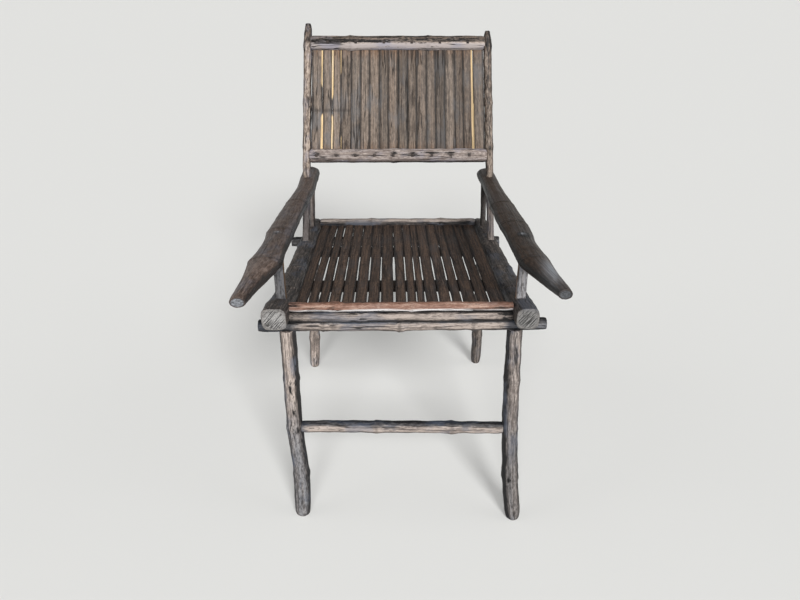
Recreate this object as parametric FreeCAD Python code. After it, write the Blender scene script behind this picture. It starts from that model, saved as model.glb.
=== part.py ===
import FreeCAD, Part
import math
import os

# Rustic bamboo armchair, in millimetres.
# The legs run up through the crossbars and the side rails and carry the arms; the reclined back
# posts stand in the side rails and pass through the arms; slats fill the seat and the back.
# Layout: x = 0 in the middle, y = 0 at the front feet, z = 0 on the floor, front towards -Y.
# Left and right are as seen from the front. At the end the whole chair is moved so that the
# origin is the bottom centre of its overall box.

Vector = FreeCAD.Vector
SIDES = {"left": -1, "right": 1}

# Fits
curved_gap = 0.3          # between curved faces that lie on each other
tenon_gap = 0.2           # round each tenon, peg and nail in its hole

# Culm outlines
thick_sides = 16          # flats round a thick culm
slim_sides = 12           # flats round a slim one
tenon_sides = 8           # flats round a whittled tenon
peg_sides = 6
round_section = 2.0       # squareness of a round culm
node_reach = 13.0         # half length of the swelling at a node of the culm
node_swell = 1.6          # how far a node stands out
long_stretch = 170.0      # longest stretch between two outlines
end_shrink = 0.86         # size of a cut end against the culm just behind it

# Seat frame
seat_height = 481.0       # top of the side rails at the front uprights
seat_fall = 36.0          # fall of the rail tops from there to the back posts
rail_end_fall = 42.0      # fall of the rail tops from there to their rear ends
front_joint_half = {"left": 221.0, "right": 222.0}  # middle plane to the front legs' shoulders
front_rail_half = 229.5   # middle plane to the rails' centres at the front uprights
rear_rail_half = 215.5    # middle plane to the rails' centres at the rear crossbar
crossbar_front_y = 78.0
seat_depth = 467.0        # front crossbar to rear crossbar
rail_front_overhang = 46.0
rail_rear_overhang = 52.0
rail_front_size = 47.0    # width and height at the front end
rail_rear_size = 36.0
rail_squareness = 3.2
rail_flare = 7.0          # outward turn of the rails' front ends
rail_flare_reach = 55.0
rail_node_sets = (118.0, 236.0, 388.0)  # from the rail's front face
rail_front_ease = 5.0
rail_rear_ease = 12.0

# Crossbars under the rails
crossbar_diameter = 25.0
saddle_depth = 2.0        # how far rails and legs are hollowed to seat a crossbar
front_crossbar_reach = {"left": 277.0, "right": 282.0}
rear_crossbar_reach = {"left": 272.0, "right": 260.0}
crossbar_node_sets = {"front": (-150.0, -3.0, 140.0), "rear": (-120.0, 60.0)}
crossbar_ease = 3.0

# Front legs, with the flat blade that runs on up to the arm
front_leg_foot_diameter = 33.0
front_leg_top_diameter = 30.0
# Outward and rearward drift from the shoulder: at the floor, the lower node and the stretcher
front_leg_bends = {
    "left": ((-11.0, -72.0), (-12.0, -55.0), (-3.0, -35.0)),
    "right": ((15.0, -89.0), (6.0, -69.0), (0.0, -45.0)),
}
leg_node_heights = (96.0, 312.0)
foot_ease = 4.0
blade_width = 20.0
blade_thickness = 12.0
blade_squareness = 6.0
blade_inset = 2.5         # blade centre inside the rail's centre
upright_y = 88.0          # blade centre at the rail top
upright_top_y = 92.0      # blade centre in the arm
arm_socket_depth = 11.0

# Rear legs, with the round stub that runs on up to the arm
rear_leg_diameter = 27.0
rear_leg_foot_drift = {"left": (18.0, 17.0), "right": (7.0, 28.0)}  # outward, rearward
rear_joint_half = 218.0
stub_diameter = 14.0
stub_top_half = 207.0     # middle plane to the stubs under the arms
stub_top_y = 518.0

# Front stretcher between the front legs
stretcher_height = 205.0
stretcher_diameter = 24.0
stretcher_tenon_diameter = 13.0
stretcher_tenon_depth = 10.0
stretcher_node_sets = (-50.0, 104.0)

# Seat rails and slats
front_rail_diameter = 20.0
front_rail_set = -10.5    # behind the front crossbar
cap_diameter = 17.0
cap_set = -8.0            # behind the front crossbar
rear_rail_diameter = 25.0
rear_rail_set = 30.0      # behind the rear crossbar
rear_rail_sink = 9.0      # its centre below the rail tops
seat_rail_tenon_diameter = 12.0
seat_rail_tenon_depth = 4.5
seat_rail_node_sets = {"front": (-75.0, 62.0), "cap": (-128.0, 20.0), "rear": (-66.0, 112.0)}
seat_groove_lift = 1.5    # groove centre above the cap's centre
rear_groove_drop = 3.5    # groove centre below the rear rail's centre
slat_bite = 8.0           # slat length inside a groove
seat_slat_thickness = 5.0
seat_slat_edge = 3.6
# Slat pitches across the front of the seat; together they fill the space between the rails.
seat_slat_pitches = (23.4, 19.9, 21.2, 24.7, 26.3, 25.5, 25.5, 29.0, 24.7,
                     20.1, 17.0, 26.3, 25.5, 21.6, 28.6, 25.5, 32.2)
seat_slat_gap = 2.6
seat_wide_gaps = {1: 3.6, 7: 4.8}  # gap after these slats
seat_side_gap = 3.0       # between the outer slats and the rails

# Battens under the slats
batten_front_set = 109.0  # front batten behind the front crossbar
batten_rear_set = -48.0   # rear batten behind the feet of the back posts
batten_width = 42.0
batten_depth = 15.0
batten_tenon_width = 20.0
batten_tenon_thickness = 8.0
batten_tenon_drop = 8.0   # tenon centre below the batten's flat face
batten_tenon_depth = 6.0

# Back posts
post_set = -105.0         # foot of the posts behind the rear crossbar
post_base_half = 221.0
post_recline = 20.5       # degrees from upright
post_lean = 0.036         # inward run for each unit of height
post_horn = {"left": 40.0, "right": 18.0}  # post tops above the centre of the upper back rail
post_width = 19.0
post_depth = 22.0
post_node_sets = (21.0, 113.0, 233.0)  # above the centre of the lower back rail
post_point = 9.0          # length of the rounded top
post_tenon_width = 16.0
post_tenon_squareness = 5.0
post_mortise_depth = 22.0

# Back rails, split lengthwise, and back slats
back_low_lift = 49.0      # centre of the lower rail above the arms' rear ends
back_rail_spacing = 253.0  # between the rails' centres, along the posts
back_rail_height = 33.0
back_rail_depth = 24.0
back_rail_node_sets = {"bottom": (-10.0,), "top": (-108.0, 70.0)}
back_rail_tenon_height = 16.0
back_rail_tenon_thickness = 6.0
back_rail_tenon_depth = 6.0
back_rail_tenon_set = 6.0 # tenon centre from the middle of the back
back_slat_count = 18
back_slat_thickness = 4.6
back_slat_edge = 3.0
back_slat_gap = 1.2
back_wide_gaps = {0: 3.6, 1: 3.8, 2: 3.0, 16: 3.8}  # gap after these slats
back_slat_uneven = 0.09   # how much the slats differ in width
back_slat_beat = 2.4      # radians of that difference from slat to slat
back_slat_bite = 12.0     # slat length beyond a rail's centre
back_side_gap = 2.0

# Arms: distance from the rear end, centre out from the middle plane, width
arm_rear_y = {"left": 580.0, "right": 566.0}
arm_rear_height = 580.0   # top of the arm at its rear end
arm_rise = {"left": 26.0, "right": 29.0}  # rise of the centre line over the arm's length
arm_thickness = 28.0
arm_slimness = 0.82       # height against width where the arm is slim
arm_squareness = 2.3
arm_shapes = {
    "left": ((0, 215, 36), (8, 214, 42), (140, 213, 41), (200, 217, 42), (250, 222, 46),
             (330, 228, 49), (420, 233, 52), (480, 234, 49), (515, 237, 49), (560, 242, 55),
             (580, 243, 51), (622, 249, 37), (660, 255, 28), (701, 261, 23), (709, 262, 17)),
    "right": ((0, 215, 34), (8, 215, 42), (86, 217, 40), (180, 218, 42), (256, 220, 52),
              (316, 222, 55), (376, 225, 56), (416, 227, 54), (466, 226, 49), (506, 227, 49),
              (546, 231, 53), (568, 233, 50), (626, 245, 31), (672, 256, 22), (680, 258, 16)),
}

# Pegs through the tenons and nails through the back rails
peg_diameter = 5.0
peg_proud = 0.5
peg_drop = {"upright": 16.0, "post": 12.0, "stub": 17.0}  # below the rail top
nail_width = 2.6
nail_length = 20.0
nail_head_width = 6.0
nail_head_height = 1.6
nail_every = {"top": 3, "bottom": 2}  # one nail for so many slats
nail_first = {"top": 1, "bottom": 0}

# Places that follow from the sizes above
crossbar_rear_y = crossbar_front_y + seat_depth
rail_front_y = crossbar_front_y - rail_front_overhang
rail_rear_y = crossbar_rear_y + rail_rear_overhang
post_y = crossbar_rear_y + post_set
batten_y = {"front": crossbar_front_y + batten_front_set, "rear": post_y + batten_rear_set}
crossbar_radius = crossbar_diameter / 2
recline = math.radians(post_recline)
back_low_height = arm_rear_height + back_low_lift
back_top_height = back_low_height + back_rail_spacing * math.cos(recline)
straight_rail_y = upright_y + rail_flare_reach  # behind it the rails run straight


def through(t, points):
    """Value at t of the polynomial through a few (t, value) points."""
    total = 0.0
    for i, (t_i, value) in enumerate(points):
        share = value
        for j, (t_j, _) in enumerate(points):
            if i != j:
                share *= (t - t_j) / (t_i - t_j)
        total += share
    return total


def between(t, t_a, t_b, a, b):
    """Straight-line value at t, from a at t_a to b at t_b."""
    return a + (b - a) * (t - t_a) / (t_b - t_a)


def bent(t, points):
    """Value at t on the straight lines from one (t, value) point to the next."""
    for (t_a, a), (t_b, b) in zip(points, points[1:]):
        if t <= t_b:
            return between(t, t_a, t_b, a, b)
    return points[-1][1]


def on_axis(axis, place, a, b):
    """Point at a place along an axis, with its two other coordinates in X, Y, Z order."""
    return {"X": Vector(place, a, b), "Y": Vector(a, place, b), "Z": Vector(a, b, place)}[axis]


def outline(axis, place, centre, half_a, half_b, squareness, sides):
    """Closed section square to an axis, with flats on all four sides: round at squareness 2."""
    corner = 1 / math.cos(math.pi / sides) if squareness == round_section else 1.0
    points = []
    for k in range(sides):
        turn = 2 * math.pi * (k + 0.5) / sides
        cos, sin = math.cos(turn), math.sin(turn)
        a = centre[0] + math.copysign(half_a * corner * abs(cos) ** (2 / squareness), cos)
        b = centre[1] + math.copysign(half_b * corner * abs(sin) ** (2 / squareness), sin)
        points.append(on_axis(axis, place, a, b))
    return Part.makePolygon(points + points[:1])


def stations(start, end, nodes, ease):
    """Places of the outlines along a culm: its ends, its nodes and enough in between."""
    wanted = [start, end]
    for length, place in ((ease[0], start + ease[0]), (ease[1], end - ease[1])):
        if length:
            wanted.append(place)
    for node in nodes:
        wanted += [node - node_reach, node, node + node_reach]
    wanted = sorted(place for place in wanted if start <= place <= end)
    places = [wanted[0]]
    for place in wanted[1:]:
        steps = math.ceil((place - places[-1]) / long_stretch)
        first = places[-1]
        for step in range(1, steps + 1):
            places.append(first + (place - first) * step / steps)
    return places


def swelling(place, nodes):
    """How far a culm stands out at a place, near its nodes."""
    return node_swell * sum(max(0.0, 1 - abs(place - node) / node_reach) for node in nodes)


def culm(axis, start, end, spine, girth, nodes=(), ease=(0, 0), grow=0.0, sides=slim_sides):
    """Pole along an axis: spine gives its centre, girth its half sizes and squareness."""
    wires = []
    for place in stations(start, end, nodes, ease):
        half_a, half_b, squareness = girth(place)
        swell = swelling(place, nodes)
        shrink = 1.0
        if (place == start and ease[0]) or (place == end and ease[1]):
            shrink = end_shrink
        at = place
        if place == start:
            at -= grow
        elif place == end:
            at += grow
        wires.append(outline(axis, at, spine(place), (half_a + swell) * shrink + grow,
                             (half_b + swell) * shrink + grow, squareness, sides))
    return Part.makeLoft(wires, True, True)


def round_bar(radius):
    """Girth of a straight round culm."""
    return lambda place: (radius, radius, round_section)


def rod(start, end, radius, sides=tenon_sides):
    """Whittled round tenon or peg from one point to another."""
    along = (end - start).normalize()
    upright = abs(along.z) > abs(along.x)
    across = along.cross(Vector(0, 1, 0) if upright else Vector(0, 0, 1)).normalize()
    beside = along.cross(across)
    corner = radius / math.cos(math.pi / sides)
    ring = []
    for k in range(sides):
        turn = 2 * math.pi * (k + 0.5) / sides
        ring.append(start + across * corner * math.cos(turn) + beside * corner * math.sin(turn))
    return Part.Face(Part.makePolygon(ring + ring[:1])).extrude(end - start)


def largest(shape):
    """The biggest solid of a cut shape."""
    return max(shape.Solids, key=lambda solid: solid.Volume)


def one_solid(shape):
    """A fused shape as one clean solid."""
    return largest(shape.removeSplitter())


# Side rails

def rail_top(y):
    return through(y, ((upright_y, seat_height), (post_y, seat_height - seat_fall),
                       (rail_rear_y, seat_height - rail_end_fall)))


def rail_half(y):
    """Half the rail's width and height at y."""
    return between(y, rail_front_y, rail_rear_y, rail_front_size, rail_rear_size) / 2


def rail_x(y):
    """Rail centre out from the middle plane."""
    line = between(y, upright_y, crossbar_rear_y, front_rail_half, rear_rail_half)
    return line + rail_flare * math.exp(-((y - rail_front_y) / rail_flare_reach) ** 2)


def rail_bottom(y):
    return rail_top(y) - 2 * rail_half(y)


def rail_inner(y):
    """Inner face of a rail, out from the middle plane."""
    return rail_x(y) - rail_half(y)


def side_rail(side, grow=0.0):
    """Thick pole along one side of the seat, squared off at the front."""
    def spine(y):
        return (SIDES[side] * rail_x(y), rail_top(y) - rail_half(y))

    def girth(y):
        return (rail_half(y), rail_half(y), rail_squareness)

    nodes = [rail_front_y + place for place in rail_node_sets]
    ease = (rail_front_ease, rail_rear_ease)
    return culm("Y", rail_front_y, rail_rear_y, spine, girth, nodes, ease, grow, thick_sides)


# Crossbars, and the seat plane that follows from them

crossbar_y = {"front": crossbar_front_y, "rear": crossbar_rear_y}
crossbar_z = {end: rail_bottom(y) + saddle_depth - crossbar_radius for end, y in crossbar_y.items()}
crossbar_reach = {"front": front_crossbar_reach, "rear": rear_crossbar_reach}
shoulder_z = {end: z - crossbar_radius + saddle_depth for end, z in crossbar_z.items()}


def crossbar(end, grow=0.0):
    """Pole from side to side under the rails."""
    reach = crossbar_reach[end]
    return culm("X", -reach["left"], reach["right"], lambda x: (crossbar_y[end], crossbar_z[end]),
                round_bar(crossbar_radius), crossbar_node_sets[end], (crossbar_ease, crossbar_ease), grow)


front_rail_y = crossbar_front_y + front_rail_set
front_rail_z = crossbar_z["front"] + crossbar_radius + node_swell + curved_gap + front_rail_diameter / 2
cap_y = crossbar_front_y + cap_set
cap_z = front_rail_z + (front_rail_diameter + cap_diameter) / 2 + node_swell + curved_gap
rear_rail_y = crossbar_rear_y + rear_rail_set
rear_rail_z = rail_top(rear_rail_y) - rear_rail_sink
groove_front_z = cap_z + seat_groove_lift
groove_rear_z = rear_rail_z - rear_groove_drop
seat_pitch = math.atan2(groove_front_z - groove_rear_z, rear_rail_y - cap_y)


def slat_mid(y):
    """Height of the middle of the seat slats."""
    return between(y, cap_y, rear_rail_y, groove_front_z, groove_rear_z)


def on_seat(shape, y):
    """Lay a shape, made level with its origin at the slats' middle, on the sloping seat at y."""
    shape.rotate(Vector(0, 0, 0), Vector(1, 0, 0), -math.degrees(seat_pitch))
    shape.translate(Vector(0, y, slat_mid(y)))
    return shape


# Arms

def arm_line(side, y):
    """Centre height of an arm at y."""
    length = arm_shapes[side][-1][0]
    return arm_rear_height - arm_thickness / 2 + arm_rise[side] * (arm_rear_y[side] - y) / length


def arm(side, grow=0.0):
    """Knobbly arm that swells at its nodes and tapers to a rounded tip."""
    wires = []
    for distance, out, width in arm_shapes[side]:
        y = arm_rear_y[side] - distance
        half = width / 2 + grow
        half_height = min(arm_thickness, arm_slimness * width) / 2 + grow
        centre = (SIDES[side] * out, arm_line(side, y))
        wires.append(outline("Y", y, centre, half, half_height, arm_squareness, thick_sides))
    return Part.makeLoft(wires, True, True)


# Front legs

def front_leg_spine(side, z):
    """Leg axis at a height, as x and y; the pole bends at its nodes."""
    heights = (0, leg_node_heights[0], stretcher_height, shoulder_z["front"])
    drifts = (*front_leg_bends[side], (0.0, 0.0))
    out = bent(z, [(height, front_joint_half[side] + drift[0]) for height, drift in zip(heights, drifts)])
    y = bent(z, [(height, crossbar_front_y + drift[1]) for height, drift in zip(heights, drifts)])
    return (SIDES[side] * out, y)


def front_leg_radius(z):
    return between(z, 0, shoulder_z["front"], front_leg_foot_diameter, front_leg_top_diameter) / 2


def front_leg_pole(side, grow=0.0):
    """Bent pole from the floor to the shoulder under the crossbar."""
    def girth(z):
        return (front_leg_radius(z), front_leg_radius(z), round_section)

    nodes = (*leg_node_heights, stretcher_height)
    return culm("Z", 0, shoulder_z["front"], lambda z: front_leg_spine(side, z), girth, nodes,
                (foot_ease, 0), grow, thick_sides)


def blade_y(z):
    """Blade centre at a height below the rail tops."""
    return between(z, shoulder_z["front"], seat_height, crossbar_front_y, upright_y)


def blade_top(side):
    return arm_line(side, upright_top_y) - arm_thickness / 2 + arm_socket_depth


def blade(side, grow=0.0):
    """Flat tenon from the leg's shoulder up through crossbar and rail to the arm."""
    root = shoulder_z["front"] - blade_width
    upper_out = rail_x(upright_y) - blade_inset
    lines = ((root, front_joint_half[side], crossbar_front_y),
             (shoulder_z["front"], front_joint_half[side], crossbar_front_y),
             (seat_height, upper_out, upright_y),
             (blade_top(side) + grow, upper_out, upright_top_y))
    wires = []
    for z, out, y in lines:
        wires.append(outline("Z", z, (SIDES[side] * out, y), blade_width / 2 + grow,
                             blade_thickness / 2 + grow, blade_squareness, slim_sides))
    return Part.makeLoft(wires, True, True)


# Rear legs

def rear_leg_spine(side, z):
    foot_out, foot_back = rear_leg_foot_drift[side]
    top = shoulder_z["rear"]
    return (SIDES[side] * between(z, 0, top, rear_joint_half + foot_out, rear_joint_half),
            between(z, 0, top, crossbar_rear_y + foot_back, crossbar_rear_y))


def rear_leg_pole(side, grow=0.0):
    """Pole from the floor to the shoulder under the rear crossbar."""
    return culm("Z", 0, shoulder_z["rear"], lambda z: rear_leg_spine(side, z),
                round_bar(rear_leg_diameter / 2), leg_node_heights, (foot_ease, 0), grow)


def stub_point(side, z):
    """Axis of the round stub at a height."""
    top = arm_line(side, stub_top_y)
    return Vector(SIDES[side] * between(z, shoulder_z["rear"], top, rear_joint_half, stub_top_half),
                  between(z, shoulder_z["rear"], top, crossbar_rear_y, stub_top_y), z)


def stub(side, grow=0.0):
    """Round tenon from the rear leg's shoulder up through crossbar and rail to the arm."""
    root = shoulder_z["rear"] - stub_diameter
    top = arm_line(side, stub_top_y) - arm_thickness / 2 + arm_socket_depth
    return rod(stub_point(side, root), stub_point(side, top + grow), stub_diameter / 2 + grow)


# Back posts

def post_at(side, z):
    """Post axis at a height, as x and y."""
    rise = z - rail_top(post_y)
    return (SIDES[side] * (post_base_half - post_lean * rise), post_y + rise * math.tan(recline))


def post_pole(side, grow=0.0):
    """Upper post, from inside the arm to its rounded top."""
    top = back_top_height + post_horn[side]
    nodes = [back_low_height + place for place in post_node_sets]
    start = arm_line(side, post_at(side, arm_rear_height)[1])

    def girth(z):
        return (post_width / 2, post_depth / 2 / math.cos(recline), round_section)

    return culm("Z", start, top, lambda z: post_at(side, z), girth, nodes,
                (0, post_point), grow)


def post_tenon(side, grow=0.0):
    """Squared lower post, from the mortise in the rail up through the arm."""
    low = rail_top(post_y) - post_mortise_depth - grow
    high = arm_rear_height + 2 * post_tenon_width
    half = post_tenon_width / 2 + grow
    wires = []
    for z in (low, high):
        wires.append(outline("Z", z, post_at(side, z), half, half / math.cos(recline),
                             post_tenon_squareness, slim_sides))
    return Part.makeLoft(wires, True, True)


# Pegs

def stub_y(z):
    return stub_point("left", z).y


def peg_lines(side):
    """Start and end of each peg through one rail: front upright, back post, rear stub."""
    upright_z = seat_height - peg_drop["upright"]
    post_z = rail_top(post_y) - peg_drop["post"]
    stub_z = rail_top(crossbar_rear_y) - peg_drop["stub"]
    lines = []
    places = ((blade_y(upright_z), upright_z), (post_at(side, post_z)[1], post_z), (stub_y(stub_z), stub_z))
    for y, z in places:
        middle = SIDES[side] * rail_x(y)
        half = rail_half(y) + peg_proud
        lines.append((Vector(middle - half, y, z), Vector(middle + half, y, z)))
    return lines


def pegs(side, grow=0.0):
    return [rod(start, end, peg_diameter / 2 + grow, peg_sides) for start, end in peg_lines(side)]


# Rails and battens between the side rails

def seat_rail_parts(y, z, diameter, nodes, grow):
    """Body and tenon of a round rail from side rail to side rail."""
    span = rail_inner(y) + seat_rail_tenon_depth
    body = culm("X", -span, span, lambda x: (y, z), round_bar(diameter / 2), nodes)
    reach = span + grow
    tenon = rod(Vector(-reach, y, z), Vector(reach, y, z), seat_rail_tenon_diameter / 2 + grow)
    return body, tenon


seat_rails = {
    "seat_front_rail": (front_rail_y, front_rail_z, front_rail_diameter, seat_rail_node_sets["front"]),
    "seat_front_cap": (cap_y, cap_z, cap_diameter, seat_rail_node_sets["cap"]),
    "seat_rear_rail": (rear_rail_y, rear_rail_z, rear_rail_diameter, seat_rail_node_sets["rear"]),
}


def batten_parts(place, grow):
    """Split culm, flat side up under the slats, and its flat tenon."""
    y = batten_y[place]
    drop = -seat_slat_thickness / 2
    half = batten_width / 2
    span = rail_x(y)
    edges = (Vector(-span, -half, drop), Vector(-span, half, drop))
    arc = Part.Arc(edges[0], Vector(-span, 0, drop - batten_depth), edges[1])
    flat = Part.LineSegment(edges[1], edges[0])
    body = Part.Face(Part.Wire([arc.toShape(), flat.toShape()])).extrude(Vector(2 * span, 0, 0))
    reach = rail_inner(y) + batten_tenon_depth + grow
    width = batten_tenon_width + 2 * grow
    thickness = batten_tenon_thickness + 2 * grow
    low = drop - batten_tenon_drop - thickness / 2
    tenon = Part.makeBox(2 * reach, width, thickness, Vector(-reach, -width / 2, low))
    return on_seat(body, y), on_seat(tenon, y)


def crowned(width, thickness, edge, length):
    """Slat lying along +Y from the origin: flat underneath, a shallow arch on top."""
    low = -thickness / 2
    half = width / 2
    corners = [Vector(-half, 0, low + edge), Vector(-half, 0, low),
               Vector(half, 0, low), Vector(half, 0, low + edge)]
    edges = [Part.LineSegment(a, b).toShape() for a, b in zip(corners, corners[1:])]
    arch = Part.Arc(corners[3], Vector(0, 0, low + thickness), corners[0])
    return Part.Face(Part.Wire(edges + [arch.toShape()])).extrude(Vector(0, length, 0))


def fan(pitches, gaps, usual_gap, half_start, half_end):
    """Width of each slat, and its centre at both ends, filling the space from side to side."""
    total = sum(pitches)
    narrow = 2 * min(half_start, half_end) / total
    place = 0.0
    for i, pitch in enumerate(pitches):
        gap_before = gaps.get(i - 1, usual_gap) if i else 0.0
        gap_after = gaps.get(i, usual_gap) if i < len(pitches) - 1 else 0.0
        width = narrow * pitch - (gap_before + gap_after) / 2
        middle = (place + pitch / 2) / total
        shift = (gap_before - gap_after) / 4
        yield width, half_start * (2 * middle - 1) + shift, half_end * (2 * middle - 1) + shift
        place += pitch


def fanned(slat, length, x_start, x_end):
    """A slat turned and moved so that its ends lie at the given places across."""
    slat.rotate(Vector(0, 0, 0), Vector(0, 0, 1), math.degrees(math.atan2(x_start - x_end, length)))
    slat.translate(Vector(x_start, 0, 0))
    return slat


slat_front_y = cap_y + cap_diameter / 2 - slat_bite
slat_rear_y = rear_rail_y - rear_rail_diameter / 2 + slat_bite


def seat_slats():
    """The seat slats, front to rear, in order from the left."""
    length = (slat_rear_y - slat_front_y) / math.cos(seat_pitch)
    halves = [rail_inner(y) - seat_side_gap for y in (straight_rail_y, slat_rear_y)]
    slats = []
    for width, x_front, x_rear in fan(seat_slat_pitches, seat_wide_gaps, seat_slat_gap, *halves):
        slat = crowned(width, seat_slat_thickness, seat_slat_edge, length)
        slats.append(on_seat(fanned(slat, length, x_front, x_rear), slat_front_y))
    return slats


def groove(y, inward):
    """Slot that takes the slat ends in the cap (inward 1) or the rear rail (inward -1)."""
    half = rail_inner(y) + seat_rail_tenon_depth
    height = seat_slat_thickness + 2 * tenon_gap
    depth = slat_bite + cap_diameter
    clear = tenon_gap + curved_gap
    start = -clear if inward > 0 else clear - depth
    box = Part.makeBox(2 * half, depth, height, Vector(-half, start, -height / 2))
    return on_seat(box, y)


# The back, made upright with its origin at the centre of the lower rail, then reclined

back_base_y = post_at("left", back_low_height)[1]


def on_back(shape):
    shape.rotate(Vector(0, 0, 0), Vector(1, 0, 0), -post_recline)
    shape.translate(Vector(0, back_base_y, back_low_height))
    return shape


def back_half(height):
    """Middle plane to the posts' centres at a height along the back."""
    z = back_low_height + height * math.cos(recline)
    return abs(post_at("left", z)[0])


back_levels = {"bottom": 0.0, "top": back_rail_spacing}


def back_rail(level, face):
    """One half of a split culm: front (face -1) or rear (face 1), and its tenon line."""
    height = back_levels[level]
    span = back_half(height)
    halves = (back_rail_depth / 2, back_rail_height / 2, round_section)
    body = culm("X", -span, span, lambda x: (0, height), lambda x: halves, back_rail_node_sets[level])
    inside = back_slat_thickness / 2 + tenon_gap / 2
    start = inside if face > 0 else -inside - back_rail_depth
    half_space = Part.makeBox(2 * span, back_rail_depth, 2 * back_rail_height,
                              Vector(-span, start, height - back_rail_height))
    return on_back(body.common(half_space))


def back_rail_tenon(level, face, grow=0.0):
    height = back_levels[level]
    reach = back_half(height) - post_width / 2 + back_rail_tenon_depth + grow
    thick = back_rail_tenon_thickness + 2 * grow
    tall = back_rail_tenon_height + 2 * grow
    low = Vector(-reach, face * back_rail_tenon_set - thick / 2, height - tall / 2)
    return on_back(Part.makeBox(2 * reach, thick, tall, low))


def back_slat_lines():
    """Width of each back slat, and its centre at its lower and upper end."""
    pitches = [1 + back_slat_uneven * math.sin(back_slat_beat * i) for i in range(back_slat_count)]
    halves = [back_half(height) - post_width / 2 - node_swell - back_side_gap
              for height in (-back_slat_bite, back_rail_spacing + back_slat_bite)]
    return list(fan(pitches, back_wide_gaps, back_slat_gap, *halves))


def back_slats():
    """The back slats, in order from the left, crowned to the front."""
    length = back_rail_spacing + 2 * back_slat_bite
    slats = []
    for width, x_low, x_high in back_slat_lines():
        slat = fanned(crowned(width, back_slat_thickness, back_slat_edge, length), length, x_low, x_high)
        slat.rotate(Vector(0, 0, 0), Vector(1, 0, 0), 90)
        slat.translate(Vector(0, 0, -back_slat_bite))
        slats.append(on_back(slat))
    return slats


def nails(grow=0.0):
    """Square nails with low pyramid heads, through the front half, a slat and the rear half."""
    made = []
    base = nail_head_width / 2
    for level, height in back_levels.items():
        for i, (_, x_low, x_high) in enumerate(back_slat_lines()):
            if i % nail_every[level] != nail_first[level]:
                continue
            x = between(height, -back_slat_bite, back_rail_spacing + back_slat_bite, x_low, x_high)
            edges = (x - base, x, x + base)
            swell = max(swelling(edge, back_rail_node_sets[level]) for edge in edges)
            face = -back_rail_depth / 2 - swell - tenon_gap
            half = nail_width / 2 + grow
            corner = Vector(x - half, face, height - half)
            shank = Part.makeBox(2 * half, nail_length + grow, 2 * half, corner)
            if grow:
                made.append(on_back(shank))
                continue
            head = Part.makeWedge(-base, 0, -base, -half, -half, base, nail_head_height, base, half, half)
            head.rotate(Vector(0, 0, 0), Vector(0, 0, 1), 180)
            head.translate(Vector(x, face, height))
            made.append(on_back(one_solid(shank.fuse(head))))
    return made


# Pieces put together

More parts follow.
